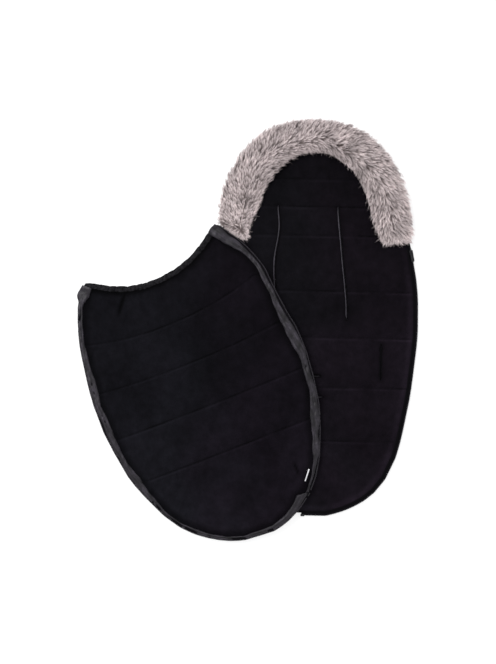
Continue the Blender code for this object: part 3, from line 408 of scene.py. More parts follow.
class Panel:
    """Outline, seams and heights of one padded panel, read from its packed shell."""

    def __init__(self, prefix, turn, seams, draped):
        self.prefix = prefix
        self.turn = turn
        self.seams = list(seams)
        self.draped = draped
        spots, corners = node_mesh(prefix + "_shell")
        self.tree = tree_of(spots, corners)
        flat = turned(spots[:, :2], -turn)
        low, high = flat.min(0), flat.max(0)
        left_tip = flat[flat[:, 0] < 0.6 * low[0] + 0.4 * high[0], 1].max()
        right_tip = flat[flat[:, 0] > 0.4 * low[0] + 0.6 * high[0], 1].max()
        top = min(left_tip, right_tip)
        self.centre = np.array([0.5 * (low[0] + high[0]), 0.5 * (low[1] + top)])
        self.half_length = 0.5 * (top - low[1])
        flat -= self.centre
        self.ends = [flat[k] for k in sides_of(corners).T]
        self.make_grid()

    def span_at(self, level, axis):
        """Least and greatest of the other coordinate where the outline crosses a level."""
        a, b = self.ends
        hit = (a[:, axis] <= level) != (b[:, axis] <= level)
        a, b = a[hit], b[hit]
        k = (level - a[:, axis]) / (b[:, axis] - a[:, axis])
        other = a[:, 1 - axis] + k * (b[:, 1 - axis] - a[:, 1 - axis])
        return other.min(), other.max()

    def flat_grid(self, rows, columns):
        """Flat places of grid points at row and column shares."""
        reach = self.half_length - JUST_INSIDE
        spans = np.array([self.span_at(np.clip(r * self.half_length, -reach, reach), 1) for r in rows])
        x = spans.mean(1)[:, None] + 0.5 * np.diff(spans, axis=1) * columns[None, :]
        inside = np.clip(x[-1], x[-1, 0] + JUST_INSIDE, x[-1, -1] - JUST_INSIDE)
        drop = self.half_length - np.array([self.span_at(v, 0)[1] for v in inside])
        start = self.seams[0]
        rise = np.clip((rows - start) / (1.0 - start), 0.0, 1.0) ** NECK_POWER
        y = rows[:, None] * self.half_length - rise[:, None] * drop[None, :]
        return np.stack([x, y], -1)

    def make_grid(self):
        """Rows and columns across the panel, closer beside its seams and border."""
        self.stops = [-1.0, *self.seams, 1.0]
        self.rows = np.concatenate([low + (high - low) * eased((high - low) * self.half_length,
                                                               sizes().row_step, ROW_CLOSENESS)[:-1]
                                    for low, high in zip(self.stops, self.stops[1:])] + [[1.0]])
        self.half_width = 0.5 * max(np.ptp(self.span_at(r * self.half_length, 1)) for r in (-0.1, 0.1))
        self.columns = 2.0 * eased(2.0 * self.half_width, sizes().column_step, COLUMN_CLOSENESS) - 1.0
        self.flat = self.flat_grid(self.rows, self.columns)
        self.border = self.border_of(self.flat)
        depth, nearest = self.depth_of(self.flat.reshape(-1, 2))
        self.depth = depth.reshape(self.flat.shape[:2])
        self.nearest = nearest.reshape(self.flat.shape[:2])
        if self.draped:
            self.flat = self.flat + self.drift()
            self.border = self.border_of(self.flat)

    def border_of(self, flat):
        """The grid's border points, counter-clockwise from the foot's left corner."""
        return np.concatenate([flat[0, :-1], flat[:-1, -1], flat[-1, :0:-1], flat[:0:-1, 0]])

    def drift(self):
        """How far each grid point moves where the cloth's border lies drawn in or out."""
        marks = np.zeros(len(self.border))
        for side in ("right", "left"):
            index, table = strip_index(self, side)
            far = lengths_along(self.border[index])
            marks[index] = np.interp(far / far[-1], *np.array(table)[:, [0, 3]].T)
        marks = evened(marks, 6, "wrap")
        run = np.roll(self.border, -3, 0) - np.roll(self.border, 3, 0)
        out = unit(np.stack([run[:, 1], -run[:, 0]], -1))
        fade = 1.0 - smooth_step(self.depth / DRIFT_FADE)
        moves = (marks[:, None] * out)[self.nearest] * fade[..., None]
        return np.stack([blurred(moves[..., k], 3) for k in (0, 1)], -1)

    def depth_of(self, points):
        """Distance from flat points to the panel's border, and the nearest border point's index."""
        ends = np.roll(self.border, -1, 0)
        run = ends - self.border
        size = np.maximum((run ** 2).sum(1), JUST_INSIDE ** 2)
        depth, nearest = np.empty(len(points)), np.empty(len(points), int)
        for start in range(0, len(points), POINTS_AT_ONCE):
            here = slice(start, start + POINTS_AT_ONCE)
            part = points[here, None] - self.border[None]
            k = np.clip((part * run).sum(-1) / size, 0.0, 1.0)
            gaps = np.sqrt(((part - k[..., None] * run) ** 2).sum(-1))
            nearest[here] = gaps.argmin(1)
            depth[here] = gaps.min(1)
        return depth, nearest

    def to_world(self, flat):
        """Flat panel points as flat world points."""
        return turned(flat.reshape(-1, 2) + self.centre, self.turn).reshape(flat.shape)

    def to_panel(self, world):
        """Flat world points as flat panel points."""
        return turned(world, -self.turn) - self.centre

    def lift(self, flat):
        """How far the panel is raised by what lies under it, at flat panel points."""
        if not self.draped:
            return np.zeros(len(flat))
        heights = []
        shrink = 1.0 - LIFT_SHRINK
        for x, y in self.to_world(flat * shrink):
            spot = self.tree.ray_cast(Vector((x, y, -1.0)), UP)[0]
            if spot is None:
                spot = self.tree.find_nearest(Vector((x, y, 0.0)))[0]
            heights.append(spot.z)
        rounding = np.sin(0.5 * math.pi * np.clip(self.depth_of(flat * shrink)[0] / EDGE_ROUNDING, 0, 1))
        return np.maximum(0.0, np.array(heights) - EDGE_LOW * (1.0 - rounding))


@cache
def panel(prefix):
    """The liner's or the cover's panel."""
    if prefix == "liner":
        return Panel("liner", 0.0, sizes().liner_seams, False)
    axis = joints["cover_fold"]["axis"]
    return Panel("cover", 2.0 * math.atan2(-axis[0], axis[1]), sizes().cover_seams, True)


# Mesh helpers

def new_piece(name, spots, faces, look, smooth=True):
    """A mesh object from points and faces."""
    mesh = bpy.data.meshes.new(name)
    mesh.from_pydata([tuple(p) for p in spots], [], [tuple(int(i) for i in f) for f in faces])
    mesh.validate()
    if smooth:
        mesh.shade_smooth()
        mesh.set_sharp_from_angle(angle=math.radians(50.0))
    mesh.materials.append(look)
    piece = bpy.data.objects.new(name, mesh)
    bpy.context.scene.collection.objects.link(piece)
    return piece


def outward(piece):
    """Turn a closed piece's faces outwards."""
    shape = bmesh.new()
    shape.from_mesh(piece.data)
    bmesh.ops.recalc_face_normals(shape, faces=shape.faces[:])
    shape.to_mesh(piece.data)
    shape.free()
    return piece


def quad_faces(rows, columns, start=0, ring_rows=False, ring_columns=False):
    """Faces of a grid of points, closed into a ring where asked."""
    i, j = np.meshgrid(np.arange(rows - (not ring_rows)), np.arange(columns - (not ring_columns)),
                       indexing="ij")
    i2, j2 = (i + 1) % rows, (j + 1) % columns
    quads = np.stack([i * columns + j, i * columns + j2, i2 * columns + j2, i2 * columns + j], -1)
    return quads.reshape(-1, 4) + start


def tube_faces(rows, columns, start=0):
    """Faces of a tube's rings of points, with its two ends."""
    around = np.arange(columns) + start
    ends = around, around[::-1] + (rows - 1) * columns
    return [tuple(f) for f in (*quad_faces(rows, columns, start, ring_columns=True), *ends)]


def rim_of(rows, columns):
    """Border of a grid of points in order."""
    first = list(range(columns - 1))
    right = [i * columns + columns - 1 for i in range(rows - 1)]
    last = [(rows - 1) * columns + j for j in range(columns - 1, 0, -1)]
    left = [i * columns for i in range(rows - 1, 0, -1)]
    return np.array(first + right + last + left)


def layer_piece(name, top, bottom, look, shade=None):
    """A closed layer of cloth between two grids of points, with a painted shade or highlight for each point
    if given.
    """
    rows, columns = top.shape[:2]
    count = rows * columns
    upper = quad_faces(rows, columns)
    lower = quad_faces(rows, columns, count)[:, ::-1]
    rim = rim_of(rows, columns)
    after = np.roll(rim, -1)
    wall = np.stack([rim, rim + count, after + count, after], -1)
    spots = np.concatenate([top.reshape(-1, 3), bottom.reshape(-1, 3)])
    piece = outward(new_piece(name, spots, np.concatenate([upper, lower, wall]), look))
    if shade is not None:
        # The "pile" attribute holds painted shade and painted highlights, multiplied into the colour
        pile = piece.data.attributes.new("pile", "FLOAT", "POINT")
        pile.data.foreach_set("value", np.tile(shade.ravel(), 2))
    return piece


def unit(ways, least=0.0):
    """Directions scaled to length 1, where they aren't shorter than the least length."""
    return ways / np.maximum(np.linalg.norm(ways, axis=1, keepdims=True), least)


def frames_along(path, ring=False):
    """Unit direction and unit outward normal, to the right of the way, at each path point."""
    run = unit(np.roll(path, -1, 0) - np.roll(path, 1, 0) if ring else np.gradient(path, axis=0))
    return run, unit(np.cross(run, UPWARD))


def swept(name, path, sections, look, ring=False):
    """A tube along a path; sections give (out, up) places for each path point."""
    _, side = frames_along(path, ring)
    spots = path[:, None] + sections[..., :1] * side[:, None] + sections[..., 1:] * UPWARD
    size = sections.shape[:2]
    faces = quad_faces(*size, ring_rows=True, ring_columns=True) if ring else tube_faces(*size)
    return outward(new_piece(name, spots.reshape(-1, 3), faces, look))


def ring_section(count, out_radius, up_radius):
    """Places round an oval."""
    angle = np.arange(count) * 2.0 * math.pi / count
    return np.stack([np.cos(angle) * out_radius, np.sin(angle) * up_radius], -1)


def lengths_along(path):
    """Distance from the path's start to each of its points."""
    return np.concatenate([[0.0], np.cumsum(np.linalg.norm(np.diff(path, axis=0), axis=1))])


def resampled(path, step):
    """A path with even steps of about the given length."""
    far = lengths_along(path)
    count = max(2, round(far[-1] / step))
    goal = np.linspace(0.0, far[-1], count + 1)
    return np.stack([np.interp(goal, far, path[:, k]) for k in range(path.shape[1])], -1)


def on_floor(flat):
    """A flat path as world points at height 0."""
    return np.concatenate([flat, np.zeros((len(flat), 1))], 1)


def moved_out(flat, distance, ring=False):
    """A flat path moved to its right by a distance."""
    return flat + frames_along(on_floor(flat), ring)[1][:, :2] * distance


def raised(shape, flat, height):
    """Flat panel points as world points at a height over what the panel lies on."""
    return np.concatenate([shape.to_world(flat), (shape.lift(flat) + height)[:, None]], 1)


def border_index(shape, first, last):
    """Border indices counter-clockwise, between the points nearest to two flat points."""
    start, stop = (int(np.argmin(np.linalg.norm(shape.border - p, axis=1))) for p in (first, last))
    return (start + np.arange((stop - start) % len(shape.border) + 1)) % len(shape.border)


def strip_index(shape, side):
    """Border indices under one length of the satin strip, and the strip's measurements along it."""
    joint = shape.flat[int(np.argmin(np.abs(shape.rows - STRIP_JOINT_SHARE))), -1]
    if side == "right":
        return border_index(shape, joint, shape.flat[-1, -1]), RIGHT_STRIP
    return border_index(shape, shape.flat[-1, 0], joint), LEFT_STRIP


def dress(piece, body, slot, *nodes):
    """Ride a piece on its body and let it stand for its nodes."""
    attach(piece, body)
    if nodes:
        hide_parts(*nodes)
    return piece


# Materials

def group_tree(name, values, outputs):
    """A new shader node group on coordinates, a colour and named values, and its two end nodes."""
    tree = bpy.data.node_groups.new(name, "ShaderNodeTree")
    kinds = {"Vector": "NodeSocketVector", "Colour": "NodeSocketColor"}
    for label in (*kinds, *values):
        socket = tree.interface.new_socket(name=label, in_out="INPUT",
                                           socket_type=kinds.get(label, "NodeSocketFloat"))
        if label in values:
            socket.default_value = values[label]
    for label in outputs:
        tree.interface.new_socket(name=label, in_out="OUTPUT",
                                  socket_type=kinds.get(label, "NodeSocketFloat"))
    return tree, tree.nodes.new("NodeGroupInput"), tree.nodes.new("NodeGroupOutput")


def noise(tree, vector, scale, detail, roughness=0.55):
    """A noise texture with its scale from a value or a socket."""
    node = tree.nodes.new("ShaderNodeTexNoise")
    node.inputs["Detail"].default_value = detail
    node.inputs["Roughness"].default_value = roughness
    tree.links.new(vector, node.inputs["Vector"])
    if isinstance(scale, (int, float)):
        node.inputs["Scale"].default_value = scale
    else:
        tree.links.new(scale, node.inputs["Scale"])
    return node.outputs["Fac"]


def math_node(tree, operation, one, two=None, three=None, clamp=False):
    """A math node on up to three values or sockets."""
    node = tree.nodes.new("ShaderNodeMath")
    node.operation = operation
    node.use_clamp = clamp
    for spot, value in zip(node.inputs, (one, two, three)):
        if isinstance(value, (int, float)):
            spot.default_value = value
        elif value is not None:
            tree.links.new(value, spot)
    return node.outputs[0]


def mix_colours(tree, factor, one, two, blend="MIX"):
    """A colour mix node's result for two colours or sockets."""
    node = tree.nodes.new("ShaderNodeMix")
    node.data_type = "RGBA"
    node.blend_type = blend
    spots = [node.inputs[0]] + [s for s in node.inputs if s.type == "RGBA"]
    for spot, value in zip(spots, (factor, one, two)):
        if isinstance(value, (int, float)):
            spot.default_value = value
        elif isinstance(value, tuple):
            spot.default_value = (*value, 1.0)
        else:
            tree.links.new(value, spot)
    return next(s for s in node.outputs if s.type == "RGBA")


def shaded(tree, colour, value):
    """A colour multiplied by a value's socket."""
    grey = tree.nodes.new("ShaderNodeCombineColor")
    for spot in grey.inputs[:3]:
        tree.links.new(value, spot)
    return mix_colours(tree, 1.0, colour, grey.outputs[0], "MULTIPLY")


def height_group(tree, start, end, height, contrast, least):
    """Finish a group that gives a height and its colour shaded by that height."""
    shade = math_node(tree, "MULTIPLY_ADD", height, contrast, least)
    tree.links.new(shaded(tree, start.outputs["Colour"], shade), end.inputs["Colour"])
    tree.links.new(height, end.inputs["Height"])
    return tree


def make_mottle(name):
    """Slow light and dark patches over a cloth."""
    tree, start, end = group_tree(name, {"Patch Scale": 14.0, "Strength": 0.4}, ["Colour"])
    wide = noise(tree, start.outputs["Vector"], start.outputs["Patch Scale"], 4.0)
    shade = math_node(tree, "MULTIPLY_ADD", math_node(tree, "SUBTRACT", wide, 0.5),
                      start.outputs["Strength"], 1.0)
    tree.links.new(shaded(tree, start.outputs["Colour"], shade), end.inputs["Colour"])
    return tree


def make_nap(name):
    """Short brushed pile: fine speckle in the colour and a height for its bump."""
    tree, start, end = group_tree(name, {"Fibre Scale": 900.0}, ["Colour", "Height"])
    fine = noise(tree, start.outputs["Vector"], start.outputs["Fibre Scale"], 3.0, 0.7)
    tuft = noise(tree, start.outputs["Vector"],
                 math_node(tree, "MULTIPLY", start.outputs["Fibre Scale"], 0.16), 2.0)
    both = math_node(tree, "ADD", math_node(tree, "MULTIPLY", fine, 0.6),
                     math_node(tree, "MULTIPLY", tuft, 0.4))
    return height_group(tree, start, end, both, 1.1, 0.45)


def make_weave(name):
    """Plain weave: over-and-under threads as a height and a faint colour change."""
    tree, start, end = group_tree(name, {"Thread Scale": 1400.0}, ["Colour", "Height"])
    heights = []
    for axis in ("X", "Y"):
        wave = tree.nodes.new("ShaderNodeTexWave")
        wave.bands_direction = axis
        wave.inputs["Distortion"].default_value = 0.35
        tree.links.new(start.outputs["Vector"], wave.inputs["Vector"])
        tree.links.new(math_node(tree, "MULTIPLY", start.outputs["Thread Scale"], 0.16),
                       wave.inputs["Scale"])
        heights.append(wave.outputs["Fac"])
    both = math_node(tree, "MULTIPLY", math_node(tree, "ADD", *heights), 0.5)
    return height_group(tree, start, end, both, 0.5, 0.75)


def place_group(tree, name, make, colour, vector, **values):
    """A node group in a material, fed with a colour and coordinates, made when it is first asked for."""
    node = tree.nodes.new("ShaderNodeGroup")
    node.node_tree = bpy.data.node_groups.get(name) or make(name)
    if isinstance(colour, tuple):
        node.inputs["Colour"].default_value = (*colour, 1.0)
    else:
        tree.links.new(colour, node.inputs["Colour"])
    tree.links.new(vector, node.inputs["Vector"])
    for label, value in values.items():
        node.inputs[label.replace("_", " ")].default_value = value
    return node


def mottled(tree, colour, vector, patch_scale, strength):
    """A colour with slow light and dark patches."""
    node = place_group(tree, "slow_mottle", make_mottle, colour, vector, Patch_Scale=patch_scale,
                       Strength=strength)
    return node.outputs["Colour"]


def woven(tree, colour, vector, thread_scale):
    """The weave group's node for a colour."""
    return place_group(tree, "plain_weave", make_weave, tuple(colour), vector, Thread_Scale=thread_scale)


def surface(name, roughness, specular, sheen=0.0, metallic=0.0):
    """A new material with its constant shader values, and where its coordinates come from."""
    look = bpy.data.materials.new(name + "_look")
    look.use_nodes = True
    tree = look.node_tree
    shader = tree.nodes["Principled BSDF"]
    shader.inputs["Roughness"].default_value = roughness
    shader.inputs["Specular IOR Level"].default_value = specular
    shader.inputs["Metallic"].default_value = metallic
    shader.inputs["Sheen Weight"].default_value = sheen
    shader.inputs["Sheen Roughness"].default_value = 0.45
    spots = tree.nodes.new("ShaderNodeTexCoord")
    return look, tree, shader, spots.outputs["Object"]


def finish_look(tree, shader, colour, height, distance):
    """Feed a colour to the shader, and a height to its normal."""
    tree.links.new(colour, shader.inputs["Base Color"])
    bump = tree.nodes.new("ShaderNodeBump")
    bump.inputs["Distance"].default_value = distance
    bump.inputs["Strength"].default_value = 1.0
    tree.links.new(height, bump.inputs["Height"])
    tree.links.new(bump.outputs["Normal"], shader.inputs["Normal"])


def painted_light_shaded(tree, colour):
    """A colour multiplied by the painted shade and painted highlights stored in the mesh's "pile" attribute
    at each point.
    """
    pile = tree.nodes.new("ShaderNodeAttribute")
    pile.attribute_name = "pile"
    return shaded(tree, colour, pile.outputs["Fac"])


def fleece_look(name, colour, turn):
    """Brushed fleece with patches where the pile was stroked, greyer to the left of a flat world x."""
    look, tree, shader, place = surface(name, 0.95, 0.04, sheen=0.03)
    shader.inputs["Sheen Tint"].default_value = (0.86, 0.82, 1.0, 1.0)
    greyer = (colour[0] * 0.96, colour[1] * 1.10, colour[2] * 1.0)
    redder = (colour[0] * 1.05, colour[1] * 0.93, colour[2] * 0.98)
    parts = tree.nodes.new("ShaderNodeSeparateXYZ")
    tree.links.new(place, parts.inputs[0])
    right = math_node(tree, "MULTIPLY_ADD", parts.outputs["X"], 5.0, -0.6 - 5.0 * turn)
    patch = math_node(tree, "MULTIPLY", noise(tree, place, 5.0, 2.0), 2.2)
    hue = mix_colours(tree, math_node(tree, "ADD", right, patch, clamp=True), greyer, redder)
    nap = place_group(tree, "brushed_nap", make_nap, hue, place)
    tone = mottled(tree, mottled(tree, nap.outputs["Colour"], place, 6.0, 2.0), place, 48.0, 0.85)
    finish_look(tree, shader, painted_light_shaded(tree, tone), nap.outputs["Height"], 0.0008)
    return look


def woven_look(name, colour, roughness, specular, thread_scale, patch=0.35, patch_scale=40.0):
    """Woven cloth."""
    look = bpy.data.materials.get(name + "_look")
    if look:
        return look
    look, tree, shader, place = surface(name, roughness, specular)
    weave = woven(tree, colour, place, thread_scale)
    tone = mottled(tree, weave.outputs["Colour"], place, patch_scale, patch)
    finish_look(tree, shader, tone, weave.outputs["Height"], 0.1 / thread_scale)
    return look


def shell_look():
    """Woven outer fabric."""
    return woven_look("woven_shell", colours().shell, 0.7, 0.06, 2600.0)


def binding_look():
    """Cloth of the bound edges."""
    return woven_look("edge_binding", colours().binding, 0.8, 0.02, 2200.0)


def satin_look():
    """Crushed satin: painted highlights and painted shade as light and dark streaks and patches on a woven
    ground.
    """
    look = bpy.data.materials.get("satin_strip_look")
    if look:
        return look
    look, tree, shader, place = surface("satin_strip", 0.42, 0.22)
    weave = woven(tree, colours().satin, place, 4200.0)
    tone = mottled(tree, mottled(tree, weave.outputs["Colour"], place, 38.0, 2.2), place, 210.0, 1.8)
    finish_look(tree, shader, painted_light_shaded(tree, tone), weave.outputs["Height"], 0.00004)
    return look


def tape_look():
    """Woven zip tape."""
    return woven_look("zip_tape", colours().tape, 0.8, 0.03, 1800.0)


def thread_look():
    """Quilting thread."""
    return woven_look("sewing_thread", colours().shell, 0.7, 0.05, 5200.0)


def coil_look():
    """Nylon of the zip coils."""
    return moulded_look("zip_coil", colours().coil, 0.45, 0.15)


def moulded_look(name, colour, roughness, specular, metallic=0.0):
    """Moulded plastic or painted metal with a fine uneven skin."""
    look = bpy.data.materials.get(name + "_look")
    if look:
        return look
    look, tree, shader, place = surface(name, roughness, specular, metallic=metallic)
    fine = noise(tree, place, 1500.0, 2.0)
    uneven = math_node(tree, "MULTIPLY_ADD", fine, 0.2, roughness - 0.1)
    tree.links.new(uneven, shader.inputs["Roughness"])
    finish_look(tree, shader, mottled(tree, tuple(colour), place, 700.0, 0.3), fine, 0.0001)
    return look


def fur_look():
    """Long pile: dark at the root and pale at the tip, each hair a little different."""
    look, tree, shader, place = surface("long_pile_fur", 0.75, 0.12, sheen=0.12)
    hair = tree.nodes.new("ShaderNodeAttribute")
    hair.attribute_name = "hair"
    parts = tree.nodes.new("ShaderNodeSeparateColor")
    tree.links.new(hair.outputs["Color"], parts.inputs[0])
    uneven = math_node(tree, "MULTIPLY_ADD", parts.outputs[1], 0.20, -0.46)
    pale = math_node(tree, "MULTIPLY", math_node(tree, "ADD", parts.outputs[0], uneven), 2.6, clamp=True)
    base = mix_colours(tree, pale, tuple(colours().fur_root), tuple(colours().fur_tip))
    own = math_node(tree, "MULTIPLY_ADD", parts.outputs[1], 0.3, 0.85)
    lock = math_node(tree, "MULTIPLY_ADD", parts.outputs[2], 0.6, 0.68)
    tone = math_node(tree, "MULTIPLY", own, lock)
    tree.links.new(mottled(tree, shaded(tree, base, tone), place, 24.0, 0.7), shader.inputs["Base Color"])
    return look


def fur_skin_look():
    """Knitted backing seen between the hairs, half as light as the hairs' roots: partly its own colour,
    partly painted shade in the gaps.
    """
    return woven_look("fur_skin", [c * 0.5 for c in colours().fur_root], 0.9, 0.1, 900.0)


# Padded panels

def freedom(shape, flat):
    """1 where the panel may swell, 0 where the fur or a strap slot holds it down."""
    world = shape.to_world(flat.reshape(-1, 2))
    free = np.ones(len(world))
    if shape.prefix == "liner":
        tree = tree_of(*node_mesh("fur_trim"))
        for k, (x, y) in enumerate(world):
            free[k] = tree.ray_cast(Vector((x, y, 0.0)), UP)[0] is None
    free = blurred(free.reshape(flat.shape[:-1]), 5)
    if shape.prefix == "liner":
        away = slot_distance(world).reshape(flat.shape[:-1])
        free *= smooth_step((away - 0.009) / 0.024)
    return free


@cache
def slot_lines():
    """Name and end points of each strap slot, from its packed binding."""
    lines = []
    for name in sorted(n for n in frame["nodes"] if "slot_binding" in n):
        flat = node_mesh(name)[0][:, :2]
        middle = 0.5 * (flat.min(0) + flat.max(0))
        along = np.linalg.svd(flat - middle)[2][0]
        along *= np.sign(along[0] - 3.0 * along[1])
        half = np.abs((flat - middle) @ along).max()
        lines.append((name, middle - along * half, middle + along * half))
    return lines


def slit_path(name, start, end):
    """Middle line of a slit, bent as the long harness slots are."""
    share = np.linspace(0.0, 1.0, 31)
    run = end - start
    across = np.array([-run[1], run[0]]) / np.linalg.norm(run)
    places, bends = SLIT_BENDS.get(name, ((0.0, 1.0), (0.0, 0.0)))
    bend = evened(np.interp(share, places, bends), 3)
    return start + run * share[:, None] + across * bend[:, None]


def slot_distance(points):
    """Distance from flat world points to the nearest strap slot's middle line."""
    nearest = np.full(points.shape[:-1], 1.0)
    for name, start, end in slot_lines():
        for spot in slit_path(name, start, end):
            nearest = np.minimum(nearest, np.linalg.norm(points - spot, axis=-1))
    return nearest


def seam_distance(shape, rows=None):
    """Distance along the panel from each row to the nearest seam, and from the seam towards its head."""
    rows = shape.rows if rows is None else rows
    gaps = (rows[:, None] - np.array(shape.seams)[None]) * shape.half_length
    below = np.where(gaps < 0.0, -gaps, 1.0).min(1)
    return np.abs(gaps).min(1)[:, None], below[:, None]


def blown_swell(shape, rows, columns):
    """Swell of the cloth between its pinned seams, from a cloth simulation under pressure."""
    flat = shape.flat_grid(rows, columns)
    depth = shape.depth_of(flat.reshape(-1, 2))[0].reshape(flat.shape[:-1])
    pinned = (depth < 0.0015) | (seam_distance(shape, rows)[0] < 0.0008) | (freedom(shape, flat) < 0.06)
    rng = np.random.default_rng(len(rows))
    rise = np.where(pinned, 0.0, rng.uniform(0.0, 0.0004, pinned.shape))
    spots = np.concatenate([flat, rise[..., None]], -1)
    cloth_piece = new_piece(shape.prefix + "_blown", spots.reshape(-1, 3), quad_faces(*pinned.shape),
                            binding_look())
    sewn = cloth_piece.vertex_groups.new(name="sewn")
    sewn.add([int(i) for i in np.flatnonzero(pinned)], 1.0, "REPLACE")
    cloth = cloth_piece.modifiers.new("cloth", "CLOTH")
    rules = cloth.settings
    rules.vertex_group_mass = "sewn"
    rules.quality = 5
    rules.use_pressure = True
    rules.uniform_pressure_force = CLOTH_PRESSURE
    rules.effector_weights.gravity = 0.0
    rules.shrink_min = CLOTH_SHRINK
    rules.bending_stiffness = CLOTH_BENDING
    cloth.collision_settings.use_collision = False
    cloth.point_cache.frame_start = 1
    cloth.point_cache.frame_end = CLOTH_FRAMES
    scene = bpy.context.scene
    for moment in range(1, CLOTH_FRAMES + 1):
        scene.frame_set(moment)
    seen = cloth_piece.evaluated_get(bpy.context.evaluated_depsgraph_get())
    after = np.empty(pinned.size * 3)
    seen.data.vertices.foreach_get("co", after)
    scene.frame_set(1)
    bpy.data.objects.remove(cloth_piece)
    return np.abs(after.reshape(*pinned.shape, 3)[..., 2])


def swell_of(shape):
    """Swell from 0 at sewn places to 1 on the crests, and its fine wrinkles in metres."""
    hold = freedom(shape, shape.flat)
    rows = np.concatenate([np.linspace(low, high, max(3, round((high - low) * shape.half_length
                                                                / CLOTH_STEP)), endpoint=False)
                           for low, high in zip(shape.stops, shape.stops[1:])] + [[1.0]])
    columns = np.linspace(-1.0, 1.0, 2 * round(shape.half_width / CLOTH_STEP) + 1)
    height = blown_swell(shape, rows, columns)
    soft = blurred(height, 9)
    detail = np.clip(height - soft, -WRINKLE_LIMIT, WRINKLE_LIMIT)
    full = np.clip(soft / np.percentile(soft, CREST_PERCENTILE), 0.0, 1.0) ** CREST_POWER
    full, detail = (regridded(field, rows, columns, shape) for field in (full, detail))
    return full * hold, detail * hold


def regridded(field, rows, columns, shape):
    """A field on coarse rows and columns read at the panel's own."""
    wide = np.array([np.interp(shape.columns, columns, line) for line in field])
    return np.array([np.interp(shape.rows, rows, line) for line in wide.T]).T


def bulge_start(shape):
    """How far inside the border the padding starts to rise, at each grid point."""
    if shape.prefix == "liner":
        return np.zeros(shape.depth.shape)
    marks, widths = [], []
    for side in ("right", "left"):
        path, table = strip_route(shape, side)
        far = lengths_along(path)
        marks.append(path)
        widths.append(np.interp(far / far[-1], table[0], table[1]))
    marks, widths = np.concatenate(marks), np.concatenate(widths)
    at_border = np.array([widths[np.argmin(((marks - p) ** 2).sum(1))] for p in shape.border])
    row_tip = len(shape.rows) - 1 + len(shape.columns) - 1
    at_border[row_tip + 3:row_tip + len(shape.columns) - 4] = 0.003
    return blurred(np.clip(at_border[shape.nearest], 0.001, 0.02), 4)


def crease(shape, line, width):
    """1 along a short crease between two flat world points, fading beside it and at its ends."""
    world = shape.to_world(shape.flat)
    start, end = np.array(line)
    run = end - start
    k = ((world - start) @ run) / (run @ run)
    away = np.linalg.norm(world - start - np.clip(k, 0.0, 1.0)[..., None] * run, axis=-1)
    return peak(away, 0.0, width) * smooth_step(1.15 - np.abs(k - 0.5) * 1.6)


def creases(shape):
    """Puckers beside the seams and folds at the neck, as depths, and painted shade along the neck folds and
    creases.
    """
    flat = shape.flat
    seam = seam_distance(shape)[0]
    near = np.exp(-seam / PUCKER_REACH) * patches(flat, 0.6, 0.4, 0.11, 21, most=1.2)
    across = flat[..., 0] + 0.005 * wobble(flat, 0.05, 5)
    depth = PUCKER_DEPTH * near * np.clip(ripple(across, PUCKER_LENGTH, 5), -0.25, 1.0)
    depth += SAG_DEPTH * patches(flat, 0.0, 1.0, 0.10, 24)
    dark = np.zeros(shape.depth.shape)
    if shape.prefix == "cover":
        neck = np.abs(flat[..., 1] - flat[-1:, :, 1])
        left = 0.35 + 0.65 * smooth_step((0.06 - flat[..., 0]) / 0.2)
        fold = np.clip(ripple(flat[..., 0] + 0.35 * neck, NECK_FOLD_LENGTH, 78), -0.3, 1.0) * left
        depth += NECK_FOLD_DEPTH * np.exp(-neck / 0.032) * fold
        # Painted shade in the hollows of the neck folds
        dark += 0.5 * np.exp(-neck / 0.02) * np.maximum(fold, 0.0)
        for line, width, deep in CREASES:
            mask = crease(shape, line, width)
            depth += deep * mask
            # Painted shade along each crease
            dark += CREASE_PAINTED_SHADE * mask
    return depth, np.clip(dark, 0.0, 0.8)


